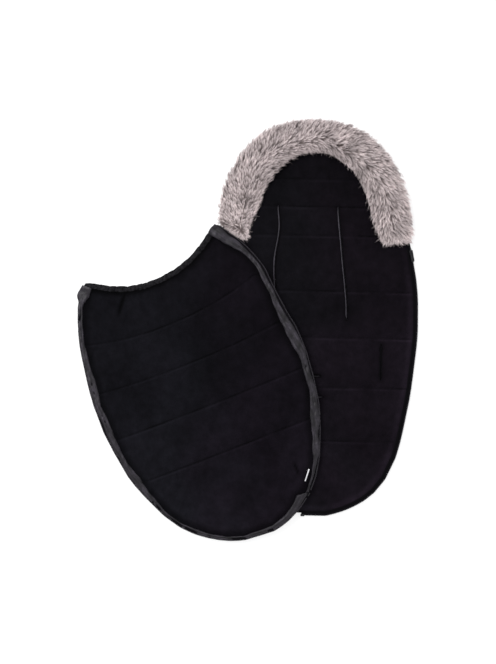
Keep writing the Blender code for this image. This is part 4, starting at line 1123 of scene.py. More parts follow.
@cache
def panel_surfaces(prefix):
    """Upper and lower face of a panel as grids of world points, and the upper face's painted shade and
    painted highlights.
    """
    shape = panel(prefix)
    full, detail = swell_of(shape)
    edge = np.sin(0.5 * math.pi * np.clip((shape.depth - bulge_start(shape)) / BULGE_RUN, 0.0, 1.0)) ** 0.75
    full = full * edge
    world = shape.to_world(shape.flat)
    base = shape.lift(shape.flat.reshape(-1, 2)).reshape(shape.depth.shape)
    base = blurred(base, 3) if shape.draped else base
    seam, below = seam_distance(shape)
    drawn = patches(shape.flat, 0.62, 0.7, 0.10, 27, 0.15)
    if shape.draped:
        drawn *= 0.25 + 0.75 * smooth_step((shape.flat[..., 0] - shape.flat[:, :1, 0] - 0.01) / 0.06)
    else:
        drawn *= patches(shape.flat, 0.45, 1.3, 0.12, 29, 0.08)
    groove = peak(seam, 0.0, GROOVE_WIDTH) * (0.45 + 0.55 * drawn)
    inner = smooth_step(shape.depth / 0.012)
    folds, dark = creases(shape)
    upper = EDGE_HIGH + (sizes().crest_height - EDGE_HIGH) * full
    upper += (detail - folds * (0.25 + 0.75 * full) - GROOVE_DEPTH * groove) * inner
    upper = np.clip(upper, LEAST_HEIGHT, sizes().crest_height + 0.0002)
    lower = (EDGE_LOW - 0.0016 * np.exp(-seam / 0.004) * inner) * (1.0 - np.clip(full * 1.25, 0.0, 1.0))
    lower += folds * 0.2 * inner
    tops = np.concatenate([world, (base + upper)[..., None]], -1)
    bottoms = np.concatenate([world, (base + lower)[..., None]], -1)
    patchy = patches(shape.flat, 0.6, 0.7, 0.09, 22)
    # Painted shade: each seam's line darkened where it is drawn in, and the neck folds and creases darker
    shade = (1.0 - 0.62 * drawn * peak(seam, 0.0, SEAM_SHADE_LINE)) * (1.0 - dark)
    light = 0.5 if shape.draped else 0.75
    # Painted highlight on the foot side of each seam
    shade = shade * (1.0 + light * patchy * peak(below, *SEAM_HIGHLIGHT))
    # Painted light: the fleece's colour darkens toward the head
    shade = shade * np.exp(-PAINTED_LIGHT_SLOPE[prefix] * world[..., 1])
    inside = shape.depth - bulge_start(shape)
    if shape.draped:
        neck = shape.flat[-1:, :, 1] - shape.flat[..., 1]
        # Painted shade on the fleece beside the satin strip's inner edge
        shade *= 1.0 - 0.62 * (1.0 - smooth_step((inside - 0.001) / 0.020))
        # Painted shade line under the gathered casing
        shade *= 1.0 - 0.6 * peak(neck, 0.0, 0.0045)
        # Painted highlight on the fold ridge beside the neck
        shade *= 1.0 + 0.6 * patchy * peak(neck, 0.010, 0.005)
    else:
        # Painted highlight along the liner's rim inside its bound edge
        shade *= 1.0 + 0.7 * peak(inside, 0.007, 0.007)
        # Painted shade beside the strap slots
        shade *= 1.0 - 0.4 * peak(slot_distance(world), 0.0, 0.008)
    return tops, bottoms, shade, base


def shifted(grid, rise):
    """A grid of points raised by a height."""
    moved = grid.copy()
    moved[..., 2] += rise
    return moved


def slit_cutters():
    """One closed prism along each slit, joined in one object."""
    spots, faces = [], []
    for name, start, end in slot_lines():
        path = slit_path(name, start, end)
        side = frames_along(on_floor(path))[1][:, :2]
        taper = np.clip(np.sin(math.pi * np.linspace(0.0, 1.0, len(path))) * 3.0, 0.25, 1.0)[:, None]
        light, dark = lip_widths(name)
        left = path - side * (dark - LIP_OVERLAP) * taper
        right = path + side * (light - LIP_OVERLAP) * taper
        outline = np.concatenate([left, right[::-1]])
        first, count, n = len(spots), len(outline), len(path)
        spots.extend([(x, y, z) for z in (CUT_LOW, CUT_HIGH) for x, y in outline])
        for low in (0, count):
            for k in range(n - 1):
                faces.append([first + low + i for i in (k, k + 1, count - 2 - k, count - 1 - k)])
        for k in range(count):
            after = (k + 1) % count
            faces.append([first + k, first + after, first + count + after, first + count + k])
    piece = outward(new_piece("slit_cutter", spots, faces, shell_look(), smooth=False))
    piece.hide_render = True
    return piece


def lip_widths(name):
    """Widths of a slot's light and dark lips."""
    grow = CROTCH_LIP_SHARE if name.startswith("crotch") else 1.0
    return LIGHT_LIP * grow, DARK_LIP * grow


def cut_slits(piece, cutter):
    """Cut the strap slits through a layer of the liner."""
    change = piece.modifiers.new("slits", "BOOLEAN")
    change.operation = "DIFFERENCE"
    change.solver = "EXACT"
    change.object = cutter
    seen = piece.evaluated_get(bpy.context.evaluated_depsgraph_get())
    mesh = bpy.data.meshes.new_from_object(seen)
    piece.modifiers.clear()
    piece.data = mesh


def lowest_nearby(field, reach):
    """Least value of a grid within some steps of each point."""
    for axis in (0, 1):
        pad = [(reach, reach) if k == axis else (0, 0) for k in (0, 1)]
        wide = np.pad(field, pad, mode="edge")
        size = field.shape[axis]
        field = np.min([np.take(wide, range(k, k + size), axis) for k in range(2 * reach + 1)], axis=0)
    return field


def build_panel(prefix):
    """Fleece, wadding and outer shell of one panel."""
    tops, bottoms, shade, base = panel_surfaces(prefix)
    if prefix == "cover":
        bottoms = bottoms.copy()
        bottoms[-1, :, 2] = tops[-1, :, 2] - FLEECE_THICKNESS - SHELL_THICKNESS - LAYER_GAP
    tone = colours().liner_fleece if prefix == "liner" else colours().cover_fleece
    fleece = layer_piece(prefix + "_fleece_layer", tops, shifted(tops, -FLEECE_THICKNESS),
                         fleece_look(prefix + "_fleece", tone, GREY_SIDE[prefix]), shade)
    outer = bottoms[:, every(2, bottoms.shape[1])]
    shell = layer_piece(prefix + "_shell_layer", shifted(outer, SHELL_THICKNESS), outer, shell_look())
    pick = np.ix_(every(3, tops.shape[0]), every(3, tops.shape[1]))
    under = lowest_nearby(tops[..., 2] - base, 3)[pick] - FLEECE_THICKNESS - LAYER_GAP
    over = -lowest_nearby(base - bottoms[..., 2], 3)[pick] + SHELL_THICKNESS + LAYER_GAP
    middle = 0.5 * (under + over)
    under, over = np.maximum(under, middle + 0.0002), np.minimum(over, middle - 0.0002)
    flat = tops[pick][..., :2].copy()
    if prefix == "cover":
        flat[-1] = 0.5 * (flat[-1] + flat[-2])
    wadding = layer_piece(prefix + "_wadding_pad",
                          np.concatenate([flat, (base[pick] + under)[..., None]], -1),
                          np.concatenate([flat, (base[pick] + over)[..., None]], -1),
                          woven_look("white_wadding", colours().wadding, 0.95, 0.1, 500.0))
    if prefix == "liner":
        cutter = slit_cutters()
        for layer in (fleece, shell, wadding):
            cut_slits(layer, cutter)
        bpy.data.objects.remove(cutter)
    dress(fleece, prefix, "fleece", prefix + "_fleece")
    dress(shell, prefix, "woven_shell", prefix + "_shell")
    dress(wadding, prefix, "wadding", prefix + "_wadding")
    width, length = np.ptp(panel(prefix).flat.reshape(-1, 2), axis=0)
    area = flat_area(panel(prefix).border)


def flat_area(outline):
    """Area inside a closed flat outline."""
    x, y = outline[:, 0], outline[:, 1]
    return 0.5 * abs(float((x * np.roll(y, -1) - y * np.roll(x, -1)).sum()))


def stitch_run(path, spots, faces):
    """Small rounded thread dashes along a path of world points."""
    size = sizes()
    even = resampled(path, 0.5 * size.stitch_pitch)
    run, side = frames_along(even)
    half = 0.5 * size.stitch_length
    for k in range(1, len(even) - 1, 2):
        first = len(spots)
        for along, grow in ((-half, 0.35), (-0.4 * half, 1.0), (0.4 * half, 1.0), (half, 0.35)):
            for out, up in ((-1.0, 0.0), (0.0, 1.0), (1.0, 0.0), (0.0, -1.0)):
                spots.append(even[k] + run[k] * along
                             + (side[k] * out + UPWARD * up) * THREAD_RADIUS * grow)
        faces.extend(tube_faces(4, 4, first))


def quilting(prefix):
    """Stitches along the seams on both sides of a panel."""
    shape = panel(prefix)
    tops, bottoms, _, _ = panel_surfaces(prefix)
    slits = slot_distance(tops[..., :2]) if prefix == "liner" else np.ones(tops.shape[:2])
    for side, grid in (("fleece", tops), ("shell", bottoms)):
        spots, faces = [], []
        for seam in shape.seams:
            row = int(np.argmin(np.abs(shape.rows - seam)))
            start = None
            for j in range(len(shape.columns) + 1):
                good = (j < len(shape.columns) and shape.depth[row, j] > STITCH_FROM_BORDER
                        and slits[row, j] > STITCH_FROM_SLOT)
                if good and start is None:
                    start = j
                if not good and start is not None:
                    if j - start > 3:
                        stitch_run(grid[row, start:j] - STITCH_SINK * UPWARD, spots, faces)
                    start = None
        piece = outward(new_piece(f"{prefix}_quilting_{side}", spots, faces, thread_look()))
        dress(piece, prefix, "edge_binding")


# Slit lips, edges and strips

def slit_lips():
    """A wide and a narrow soft lip in each strap slot, pressed together, right through the liner."""
    tops = panel_surfaces("liner")[0]
    tree = grid_tree(tops)
    for name, start, end in slot_lines():
        path = resampled(slit_path(name, start, end), PATH_STEP)
        height = np.array([tree.ray_cast(Vector((x, y, 1.0)), -UP)[0].z for x, y in path])
        height = evened(height, 4)
        level = on_floor(path)
        side = frames_along(level)[1]
        far = lengths_along(path)
        ends = np.clip(np.minimum(far, far[-1] - far) / LIP_END, 0.03, 1.0) ** 0.5
        angle = np.arange(LIP_CORNERS) * 2.0 * math.pi / LIP_CORNERS
        square = np.sign(np.sin(angle)) * np.abs(np.sin(angle)) ** 0.6
        spots, faces, marks = [], [], []
        light, dark = lip_widths(name)
        for sign, width, proud in ((1.0, light, 0.0012), (-1.0, dark, 0.0004)):
            wave = ripple(far, 0.045, 31 + int(sign)) * 0.16 + ripple(far, 0.011, 33 + int(sign)) * 0.05
            outer = width * (0.86 + wave) * ends
            top = height + proud + 0.0004 * ripple(far, 0.009, 37) - (1.0 - ends) * 0.002
            out = 0.5 * outer[:, None] * (1.0 + np.cos(angle)) - 0.0001
            up = 0.5 * (top[:, None] + LIP_FOOT) + 0.5 * (top[:, None] - LIP_FOOT) * square
            first = len(spots)
            grid = level[:, None] + sign * out[..., None] * side[:, None]
            grid[..., 2] += up
            spots.extend(grid.reshape(-1, 3))
            faces.extend(tube_faces(len(path), LIP_CORNERS, first))
            marks.extend([sign < 0.0] * (len(faces) - len(marks)))
        look = binding_look()
        # The wide lip's satin is lightened and strongly mottled as a painted highlight
        if not name.startswith("lap"):
            look = woven_look("slot_satin_highlight", colours().lip, 0.42, 0.22, 4200.0, patch=2.2, patch_scale=110.0)
        piece = outward(new_piece(name.replace("binding", "lips"), spots, faces, look))
        piece.data.materials.append(binding_look())
        piece.data.polygons.foreach_set("material_index", np.array(marks, np.int32))
        dress(piece, "liner", "edge_binding", name)


def edge_piping(prefix):
    """Binding wrapped over the panel's edge, lightly puckered by its stitching."""
    shape = panel(prefix)
    ring = prefix == "liner"
    if ring:
        flat = resampled(np.concatenate([shape.border, shape.border[:1]]), PATH_STEP)[:-1]
    else:
        index = border_index(shape, shape.flat[-1, 0], shape.flat[-1, -1])
        flat = resampled(shape.border[index], PATH_STEP)
    path = raised(shape, moved_out(flat, BINDING_OFFSET, ring), EDGE_MIDDLE)
    far = lengths_along(path)
    section = ring_section(14, BINDING_WIDTH, BINDING_HEIGHT)
    grow = 1.0 + 0.08 * ripple(far, 0.0055, 13) + 0.05 * ripple(far, 0.03, 14)
    piece = swept(prefix + "_bound_edge", path, section[None] * grow[:, None, None], binding_look(), ring)
    dress(piece, prefix, "edge_binding", prefix + "_piping")


def strip_route(shape, side):
    """Path of one length of the satin strip, run on past the neck's corner, and its measurements."""
    index, table = strip_index(shape, side)
    path = shape.border[index]
    tip, inner = (path[-1], path[-8]) if side == "right" else (path[0], path[7])
    beyond = [tip + (tip - inner) / np.linalg.norm(tip - inner) * STRIP_NECK_REACH[side]]
    return np.concatenate([path, beyond] if side == "right" else [beyond, path]), np.array(table).T


def strip_support(out):
    """Height of what the strip lies on outside the border, above the fleece's edge."""
    level = np.full(out.shape, -1.0)
    for centre, width, height in ((BINDING_OFFSET, BINDING_WIDTH, BINDING_HEIGHT),
                                  (COIL_OFFSET, 0.0018, 0.0016)):
        dome = np.sqrt(np.clip(1.0 - ((out - centre) / width) ** 2, 0.0, 1.0))
        level = np.maximum(level, np.where(dome > 0.0, height * dome, -1.0))
    return EDGE_MIDDLE - EDGE_HIGH + np.maximum(level, 0.7 * TAPE_THICKNESS) + STRIP_THICKNESS


def grid_tree(grid):
    """A search tree over a grid of points."""
    quads = quad_faces(*grid.shape[:2])
    return tree_of(grid.reshape(-1, 3), np.concatenate([quads[:, [0, 1, 2]], quads[:, [0, 2, 3]]]))


def satin_strip(side, seed):
    """Puckered satin strip beside the zip: a stitched band with a rolled inner edge."""
    shape = panel("cover")
    tree = grid_tree(panel_surfaces("cover")[0])
    path, table = strip_route(shape, side)
    flat = resampled(path, STRIP_STEP)
    far = lengths_along(flat)
    across = frames_along(on_floor(flat))[1][:, :2]
    inside = np.interp(far / far[-1], table[0], table[1]) + 0.0009 * ripple(far, 0.019, seed)
    outside = np.interp(far / far[-1], table[0], table[2]) + 0.0003 * ripple(far, 0.013, seed + 1)
    width = np.maximum(inside + outside, STRIP_LEAST_WIDTH)
    shares, heights = np.array(STRIP_PROFILE).T
    fullness = np.clip(width / STRIP_FULL_WIDTH, 0.55, 1.25)
    outward_way = outside[:, None] - shares[None] * width[:, None]
    spots = flat[:, None] + across[:, None] * outward_way[..., None]
    world = shape.to_world(spots)
    ground = np.full(world.shape[:2], np.nan)
    for k in np.ndindex(*ground.shape):
        hit = tree.ray_cast(Vector((*world[k], 1.0)), -UP)[0]
        if hit is not None:
            ground[k] = hit.z
    near_edge = (shape.lift(flat) + EDGE_HIGH)[:, None]
    rests = np.where(np.isnan(ground), near_edge - 1.0, np.minimum(ground, near_edge + 0.0030))
    rests = np.maximum(rests + 0.0002, near_edge + strip_support(outward_way))
    from_neck = (far[-1] - far if side == "right" else far)[:, None]
    past_corner = 1.0 - smooth_step((from_neck - STRIP_NECK_REACH[side]) / 0.016)
    rests = blurred(rests, 2) + STRIP_NECK_LIFT * past_corner
    slant = far[:, None] + 0.7 * shares[None] * width[:, None]
    bow = np.sin(math.pi * shares)[None] ** 0.7
    puckers = (0.0012 * ripple(slant, 0.0072, seed + 2) + 0.0013 * ripple(slant, 0.021, seed + 3)) * bow
    hem = 0.0008 * ripple(far[:, None] - 0.5 * slant, 0.013, seed + 4) * shares[None]
    level = rests + heights[None] * fullness[:, None] + puckers + hem
    tops = np.concatenate([world, level[..., None]], -1)
    lengthwise = np.stack([0.10 * (far[:, None] + 0.0 * outward_way), outward_way], -1)
    # Painted highlights and painted shade in lengthwise streaks along the satin's puckers
    painted_sheen_streaks = patches(lengthwise, 0.95, 0.6, 0.0052, seed + 5, 0.3, 1.9)
    piece = layer_piece("satin_strip_" + side, tops, shifted(tops, -STRIP_THICKNESS), satin_look(), painted_sheen_streaks)
    dress(piece, "cover", "satin_strip", "guard_strip_" + side)


def neck_casing():
    """Gathered casing over the elastic along the cover's neck."""
    shape = panel("cover")
    neck = shape.flat[-1, ::-1]
    beyond = neck[-1] + (neck[-1] - neck[-4]) / np.linalg.norm(neck[-1] - neck[-4]) * CASING_BEYOND
    flat = resampled(np.concatenate([neck, [beyond]]), CASING_STEP)
    far = lengths_along(flat)
    offset = CASING_OFFSET * (0.6 + 0.4 * smooth_step((far[-1] - far) / 0.03))
    path = raised(shape, flat + (moved_out(flat, 1.0) - flat) * offset[:, None], EDGE_MIDDLE)
    path[:, 2] = evened(path[:, 2], 12)
    section = ring_section(20, 1.0, 1.0)
    gather = ripple(far[:, None] + 0.0022 * section[None, :, 0], GATHER_LENGTH, 61)
    swell = ripple(far, 0.017, 62)[:, None]
    wide = CASING_WIDTH + 0.0007 * gather + 0.0004 * swell
    tall = CASING_HEIGHT + 0.0017 * gather + 0.0005 * swell
    ends = np.clip(np.minimum(far, far[-1] - far)[:, None] / 0.006, 0.8, 1.0)
    wide, tall = wide * ends, np.maximum(tall * ends, CASING_LEAST)
    sections = np.stack([section[None, :, 0] * wide, section[None, :, 1] * tall], -1)
    # Strong small patches stand in for the ruffles' painted highlights and painted shade
    look = woven_look("gathered_shell_painted_shade", colours().shell, 0.7, 0.06, 2600.0, patch=6.0, patch_scale=190.0)
    piece = swept("gathered_casing", path, sections, look)
    dress(piece, "cover", "woven_shell", "elastic_casing")
    flat_band = np.stack([section[:, 0] * ELASTIC_HALF_WIDTH - 0.001,
                          section[:, 1] * ELASTIC_HALF_HEIGHT], -1)
    within = path[8:-8]
    look = woven_look("grey_elastic", colours().elastic, 0.8, 0.1, 900.0)
    elastic = swept("elastic_in_casing", within, np.repeat(flat_band[None], len(within), 0), look)
    dress(elastic, "cover", "elastic_webbing", "elastic_band")


def folded_label():
    """Blank folded label in the seam."""
    spots = node_mesh("care_label")[0]
    middle = 0.5 * (spots.min(0) + spots.max(0))
    flat = spots[:, :2] - middle[:2]
    along = np.linalg.svd(flat)[2][0]
    across = np.array([-along[1], along[0]])
    across *= np.sign(across[0])
    length, width = (np.ptp(flat @ way) for way in (along, across))
    u, v = np.meshgrid(np.linspace(-0.5, 0.5, 17), np.linspace(0.0, 1.0, 13), indexing="ij")
    turn = np.clip((v - LABEL_FOLD) / (1.0 - 2.0 * LABEL_FOLD), 0.0, 1.0) * math.pi
    reach = np.minimum(np.minimum(v, 1.0 - v) / LABEL_FOLD, 1.0)
    out = LABEL_SHIFT + (0.5 - 0.8 * reach) * LABEL_SHOWN * width - 0.0005 * np.sin(turn)
    level = 0.0011 - 0.0006 * (1.0 - np.cos(turn)) + 0.0011 * np.sin(3.0 * u + 0.6) * reach
    grid = (middle + (u * length)[..., None] * np.array([*along, 0.0])
            + out[..., None] * np.array([*across, 0.0]) + level[..., None] * UPWARD)
    look = woven_look("label_cloth", colours().label, 0.7, 0.2, 3000.0)
    piece = layer_piece("folded_label", grid, shifted(grid, -LABEL_THICKNESS), look)
    dress(piece, "cover", "label_cloth", "care_label")


# Zips

def zip_run(shape, side, more=0):
    """Border path beside one packed length of zip coil, with some border points more at each end."""
    spots = node_mesh(f"{shape.prefix}_zip_coil_{side}")[0]
    flat = shape.to_panel(spots[:, :2])
    count = len(shape.border)
    taken = np.unique([int(np.argmin(((shape.border - p) ** 2).sum(1))) for p in flat])
    jumps = (np.roll(taken, -1) - taken) % count
    last = int(np.argmax(jumps))
    first = taken[(last + 1) % len(taken)]
    span = (taken[last] - first) % count + 1
    return shape.border[(first - more + np.arange(span + 2 * more)) % count]


def wound_coil(name, path, node, body):
    """Zip coil: a flattened helix that winds round its path."""
    even = resampled(path, sizes().tooth_pitch / COIL_STEPS)
    run, side = frames_along(even)
    angle = np.arange(len(even)) * 2.0 * math.pi / COIL_STEPS
    wound = even + side * (np.cos(angle) * COIL_RADIUS * 1.15)[:, None]
    wound[:, 2] += np.sin(angle) * COIL_RADIUS * 0.85
    way = unit(np.gradient(wound, axis=0))
    one = unit(np.cross(way, run), JUST_INSIDE)
    two = np.cross(way, one)
    corner = np.arange(4) * 0.5 * math.pi
    grid = wound[:, None] + COIL_WIRE * (np.cos(corner)[None, :, None] * one[:, None]
                                         + np.sin(corner)[None, :, None] * two[:, None])
    piece = outward(new_piece(name, grid.reshape(-1, 3), tube_faces(len(wound), 4), coil_look()))
    dress(piece, body, "zip_coil", node)


def zip_halves():
    """Tapes and coils on the liner's and the cover's edges."""
    shares, heights = np.array(TAPE_PROFILE).T
    section = np.stack([shares * TAPE_HALF_WIDTH, heights * TAPE_THICKNESS], -1)
    for prefix in ("liner", "cover"):
        shape = panel(prefix)
        for side in ("right", "left"):
            flat = resampled(zip_run(shape, side), TAPE_STEP)
            coil = raised(shape, moved_out(flat, COIL_OFFSET), EDGE_MIDDLE + 0.0003)
            wound_coil(f"{prefix}_coil_{side}", coil, f"{prefix}_zip_coil_{side}", prefix)
            flat = resampled(zip_run(shape, side, TAPE_BEYOND_COIL), TAPE_STEP)
            tape = raised(shape, moved_out(flat, TAPE_OFFSET), EDGE_MIDDLE)
            tape[:, 2] += 0.0003 * ripple(lengths_along(tape), 0.02, 91)
            sections = np.repeat(section[None], len(tape), 0)
            piece = swept(f"{prefix}_tape_{side}", tape, sections, tape_look())
            dress(piece, prefix, "zip_tape", f"{prefix}_zip_tape_{side}")


# Fur

class Band:
    """The fur's band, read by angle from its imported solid."""

    def __init__(self):
        spots, corners = node_mesh("fur_trim")
        low = spots.min(0)
        self.floor = low[2]
        self.centre = np.array([0.0, low[1]])
        flat = spots[:, :2] - self.centre
        bearing = np.arctan2(flat[:, 1], flat[:, 0])
        self.angles = np.linspace(bearing.min() + 0.012, bearing.max() - 0.012, 220)
        (a, za), (b, zb) = ((flat[k], spots[k, 2]) for k in sides_of(corners).T)
        readings = []
        for angle in self.angles:
            ray = np.array([math.cos(angle), math.sin(angle)])
            normal = np.array([-ray[1], ray[0]])
            da, db = a @ normal, b @ normal
            hit = ((da <= 0) != (db <= 0)) & ((a + b) @ ray > 0)
            k = da[hit] / (da[hit] - db[hit])
            reach = (a[hit] + k[:, None] * (b[hit] - a[hit])) @ ray
            readings.append((reach.min(), reach.max(), (za[hit] + k * (zb[hit] - za[hit])).max()))
        self.inner, self.outer, self.top = np.array(readings).T
        ray = np.stack([np.cos(self.angles), np.sin(self.angles)], -1)
        self.far = lengths_along(ray * (0.5 * (self.inner + self.outer))[:, None])

    def middle(self, angle):
        """Middle of the band at some angles, from its centre."""
        inner, outer = (np.interp(angle, self.angles, field) for field in (self.inner, self.outer))
        return np.stack([np.cos(angle), np.sin(angle)], -1) * (0.5 * (inner + outer))[:, None]

    def place(self, share, across):
        """Flat world place, outward and clockwise directions, pile top and width at band shares."""
        angle = np.interp(share * self.far[-1], self.far, self.angles)
        inner, outer, top = (np.interp(angle, self.angles, field)
                             for field in (self.inner, self.outer, self.top))
        ray = np.stack([np.cos(angle), np.sin(angle)], -1)
        flat = self.centre + ray * (inner + across * (outer - inner))[:, None]
        way = unit(self.middle(angle - 0.01) - self.middle(angle + 0.01))
        out = np.stack([-way[:, 1], way[:, 0]], -1)
        return flat, out, way, top, outer - inner

    def skin(self, across, top):
        """Height of the backing that the hairs grow from."""
        arch = np.sin(math.pi * np.clip(across, 0.0, 1.0)) ** 0.6
        return self.floor + (top - self.floor) * (0.08 + 0.40 * arch)


def fur_skin(band):
    """Soft padded base under the hairs."""
    shares = np.linspace(0.015, 0.985, 150)
    tops, bottoms = [], []
    for across in np.linspace(0.07, 0.93, 14):
        flat, _, _, top, _ = band.place(shares, across)
        tops.append(np.concatenate([flat, band.skin(across, top)[:, None]], 1))
        bottoms.append(np.concatenate([flat, np.full((len(flat), 1), band.floor + 0.0002)], 1))
    piece = layer_piece("fur_skin", np.array(tops), np.array(bottoms), fur_skin_look())
    dress(piece, "liner", "long_pile_fur")


def fur_locks(band, rng):
    """Places, tips, climbs, bows and tones of the locks that the hairs gather in."""
    count = sizes().pile_locks
    share = rng.uniform(0.008, 0.992, count)
    across = rng.uniform(0.03, 0.97, count)
    flat, out, way, top, width = band.place(share, across)
    part = HAIR_PARTING + 0.10 * wobble(flat, 0.12, 11)
    sideways = np.tanh((across - part) / 0.20)
    spots, outs, alongs = np.array(HAIR_COMBING).T
    lean = 0.30 * rng.normal(size=count) + 0.25 * wobble(flat, 0.06, 12)
    heading = (out * (sideways * np.interp(share, spots, outs) + 0.45 * lean)[:, None]
               + way * (np.interp(share, spots, alongs) + 0.35 * lean * np.sign(across - 0.5))[:, None])
    heading = unit(heading, 0.05)
    pressed = np.clip((top - band.floor) / (band.top.max() - band.floor), 0.0, 1.0)
    length = sizes().pile_length * rng.uniform(*LOCK_LENGTHS, count) * (0.5 + 0.5 * pressed)
    spiky = rng.uniform(0.0, 1.0, count) ** 2
    rim = 0.98 + 0.085 * spiky
    room_out = (rim - across) * width / np.maximum((heading * out).sum(1), 0.02)
    room_in = (across + 0.07 * spiky) * width / np.maximum(-(heading * out).sum(1), 0.02)
    along = (heading * way).sum(1)
    room_end = (share * band.far[-1] + 0.007 * spiky) / np.maximum(along, 0.02)
    room_start = ((1.0 - share) * band.far[-1] + 0.012 * spiky) / np.maximum(-along, 0.02)
    reach = np.minimum.reduce([LOCK_REACH * length, room_out, room_in, room_end, room_start])
    crown = top - band.skin(across, top)
    climb = np.sqrt(np.maximum(length ** 2 - reach ** 2, 0.0)) * 0.8
    climb = np.clip(climb, 0.25 * crown, crown * rng.uniform(0.35, 1.0, count))
    bow = rng.normal(scale=0.0022, size=count)
    crook = peak(across, 0.0, 0.30) * np.sin(math.pi * share) ** 2
    tone = 0.55 + 0.22 * rng.normal(size=count) + 0.25 * wobble(flat, 0.045, 14) - 0.55 * crook
    tone = np.clip(tone, 0.0, 1.0)
    return flat, flat + heading * reach[:, None], climb, bow, tone


def fur_hairs(band):
    """Tapered hairs in pointed locks, parted along the band and combed clockwise over the head."""
    rng = np.random.default_rng(2024)
    lock_root, lock_tip, lock_climb, lock_bow, lock_tone = fur_locks(band, rng)
    finder = KDTree(len(lock_root))
    for k, (x, y) in enumerate(lock_root):
        finder.insert((x, y, 0.0), k)
    finder.balance()
    count = sizes().pile_hairs
    across = rng.uniform(0.04, 0.95, count)
    flat, _, _, top, _ = band.place(rng.uniform(0.010, 0.990, count), across)
    key = np.array([finder.find((x, y, 0.0))[1] for x, y in flat])
    root = np.concatenate([flat, band.skin(across, top)[:, None]], 1)
    drawn = lock_tip[key] + 0.16 * (flat - lock_root[key]) + rng.normal(scale=0.0005, size=(count, 2))
    drawn += rng.normal(scale=0.0045, size=(count, 2)) * (rng.uniform(size=(count, 1)) < STRAY_SHARE)
    tip = flat + (drawn - flat) * rng.uniform(0.78, 1.03, count)[:, None]
    climb = lock_climb[key] * rng.uniform(0.82, 1.06, count)
    heading = unit(tip - flat, 0.001)
    sideways = np.stack([-heading[:, 1], heading[:, 0]], -1)
    bow = lock_bow[key] + rng.normal(scale=0.0006, size=count)
    line = np.empty((count, 4, 3))
    line[..., :2] = flat[:, None] + (tip - flat)[:, None] * (HAIR_STEPS ** 1.1)[None, :, None]
    line[..., :2] += sideways[:, None] * (bow[:, None] * 4.0 * HAIR_STEPS * (1.0 - HAIR_STEPS))[..., None]
    line[..., 2] = root[:, 2:] + climb[:, None] * HAIR_RISE
    ceiling = np.where(top < LOW_PILE, top + 0.0002, top + 0.003)
    line[..., 2] = np.clip(line[..., 2], band.floor + 0.0002, ceiling[:, None])
    spread = unit(np.concatenate([sideways, rng.normal(scale=0.7, size=(count, 1))], 1))
    half = HAIR_HALF_WIDTH * HAIR_TAPER * rng.uniform(0.7, 1.3, (count, 1))
    left = line[:, :3] - spread[:, None] * half[..., None]
    right = line[:, :3] + spread[:, None] * half[..., None]
    spots = np.stack([left[:, 0], right[:, 0], left[:, 1], right[:, 1], left[:, 2], right[:, 2],
                      line[:, 3]], 1)
    hair_mesh(spots, rng, lock_tone[key])


def hair_mesh(spots, rng, tone):
    """The hairs' mesh with each hair's shading values and its own patch of map."""
    count = len(spots)
    start = np.arange(count)[:, None] * HAIR_POINTS
    loops = np.concatenate([start + np.array([0, 1, 3, 2]), start + np.array([2, 3, 5, 4]),
                            start + np.array([4, 5, 6])], 1).ravel()
    mesh = bpy.data.meshes.new("fur_hairs")
    mesh.vertices.add(count * HAIR_POINTS)
    mesh.vertices.foreach_set("co", spots.astype(np.float32).ravel())
    mesh.loops.add(len(loops))
    mesh.loops.foreach_set("vertex_index", loops.astype(np.int32))
    mesh.polygons.add(count * 3)
    starts = (np.arange(count)[:, None] * HAIR_CORNERS + np.array([0, 4, 8])).ravel()
    mesh.polygons.foreach_set("loop_start", starts.astype(np.int32))
    mesh.update(calc_edges=True)
    mesh.validate()
    shade = mesh.attributes.new("hair", "FLOAT_COLOR", "POINT")
    along = np.tile([0.0, 0.0, 0.42, 0.42, 0.8, 0.8, 1.0], count)
    own = np.repeat(rng.uniform(0.0, 1.0, count), HAIR_POINTS)
    values = np.stack([along, own, np.repeat(tone, HAIR_POINTS), np.ones(len(own))], -1)
    shade.data.foreach_set("color", values.ravel())
    side = math.ceil(math.sqrt(count))
    cell = np.stack([np.arange(count) % side, np.arange(count) // side], -1) / side
    corner = np.array([[0, 0], [1, 0], [1, 0.4], [0, 0.4], [0, 0.4], [1, 0.4], [1, 0.8], [0, 0.8],
                       [0, 0.8], [1, 0.8], [0.5, 1.0]]) * 0.8 + 0.1
    places = (cell[:, None] + corner[None] / side).reshape(-1, 2)
    mesh.uv_layers.new(name="OFBake").data.foreach_set("uv", places.ravel())
    mesh.shade_smooth()
    mesh.materials.append(fur_look())
    piece = bpy.data.objects.new("fur_hairs", mesh)
    bpy.context.scene.collection.objects.link(piece)
    dress(piece, "liner", "long_pile_fur", "fur_trim")


# Operators

class MESH_OT_footmuff_liner(bpy.types.Operator):
    """Build the liner's fleece, wadding, shell and quilting"""
    bl_idname = "mesh.footmuff_liner"
    bl_label = "Liner Panel"

    def execute(self, context):
        build_panel("liner")
        quilting("liner")
        return {"FINISHED"}


class MESH_OT_footmuff_cover(bpy.types.Operator):
    """Build the cover's fleece, wadding, shell and quilting"""
    bl_idname = "mesh.footmuff_cover"
    bl_label = "Cover Panel"

    def execute(self, context):
        build_panel("cover")
        quilting("cover")
        return {"FINISHED"}


class MESH_OT_footmuff_lips(bpy.types.Operator):
    """Build the bound lips of the strap slots"""
    bl_idname = "mesh.footmuff_lips"
    bl_label = "Slot Lips"

    def execute(self, context):
        slit_lips()
        return {"FINISHED"}


class MESH_OT_footmuff_edges(bpy.types.Operator):
    """Build the bound edges, the satin strips and the gathered casing"""
    bl_idname = "mesh.footmuff_edges"
    bl_label = "Edges and Strips"

    def execute(self, context):
        edge_piping("liner")
        edge_piping("cover")
        satin_strip("right", 101)
        satin_strip("left", 205)
        neck_casing()
        folded_label()
        return {"FINISHED"}


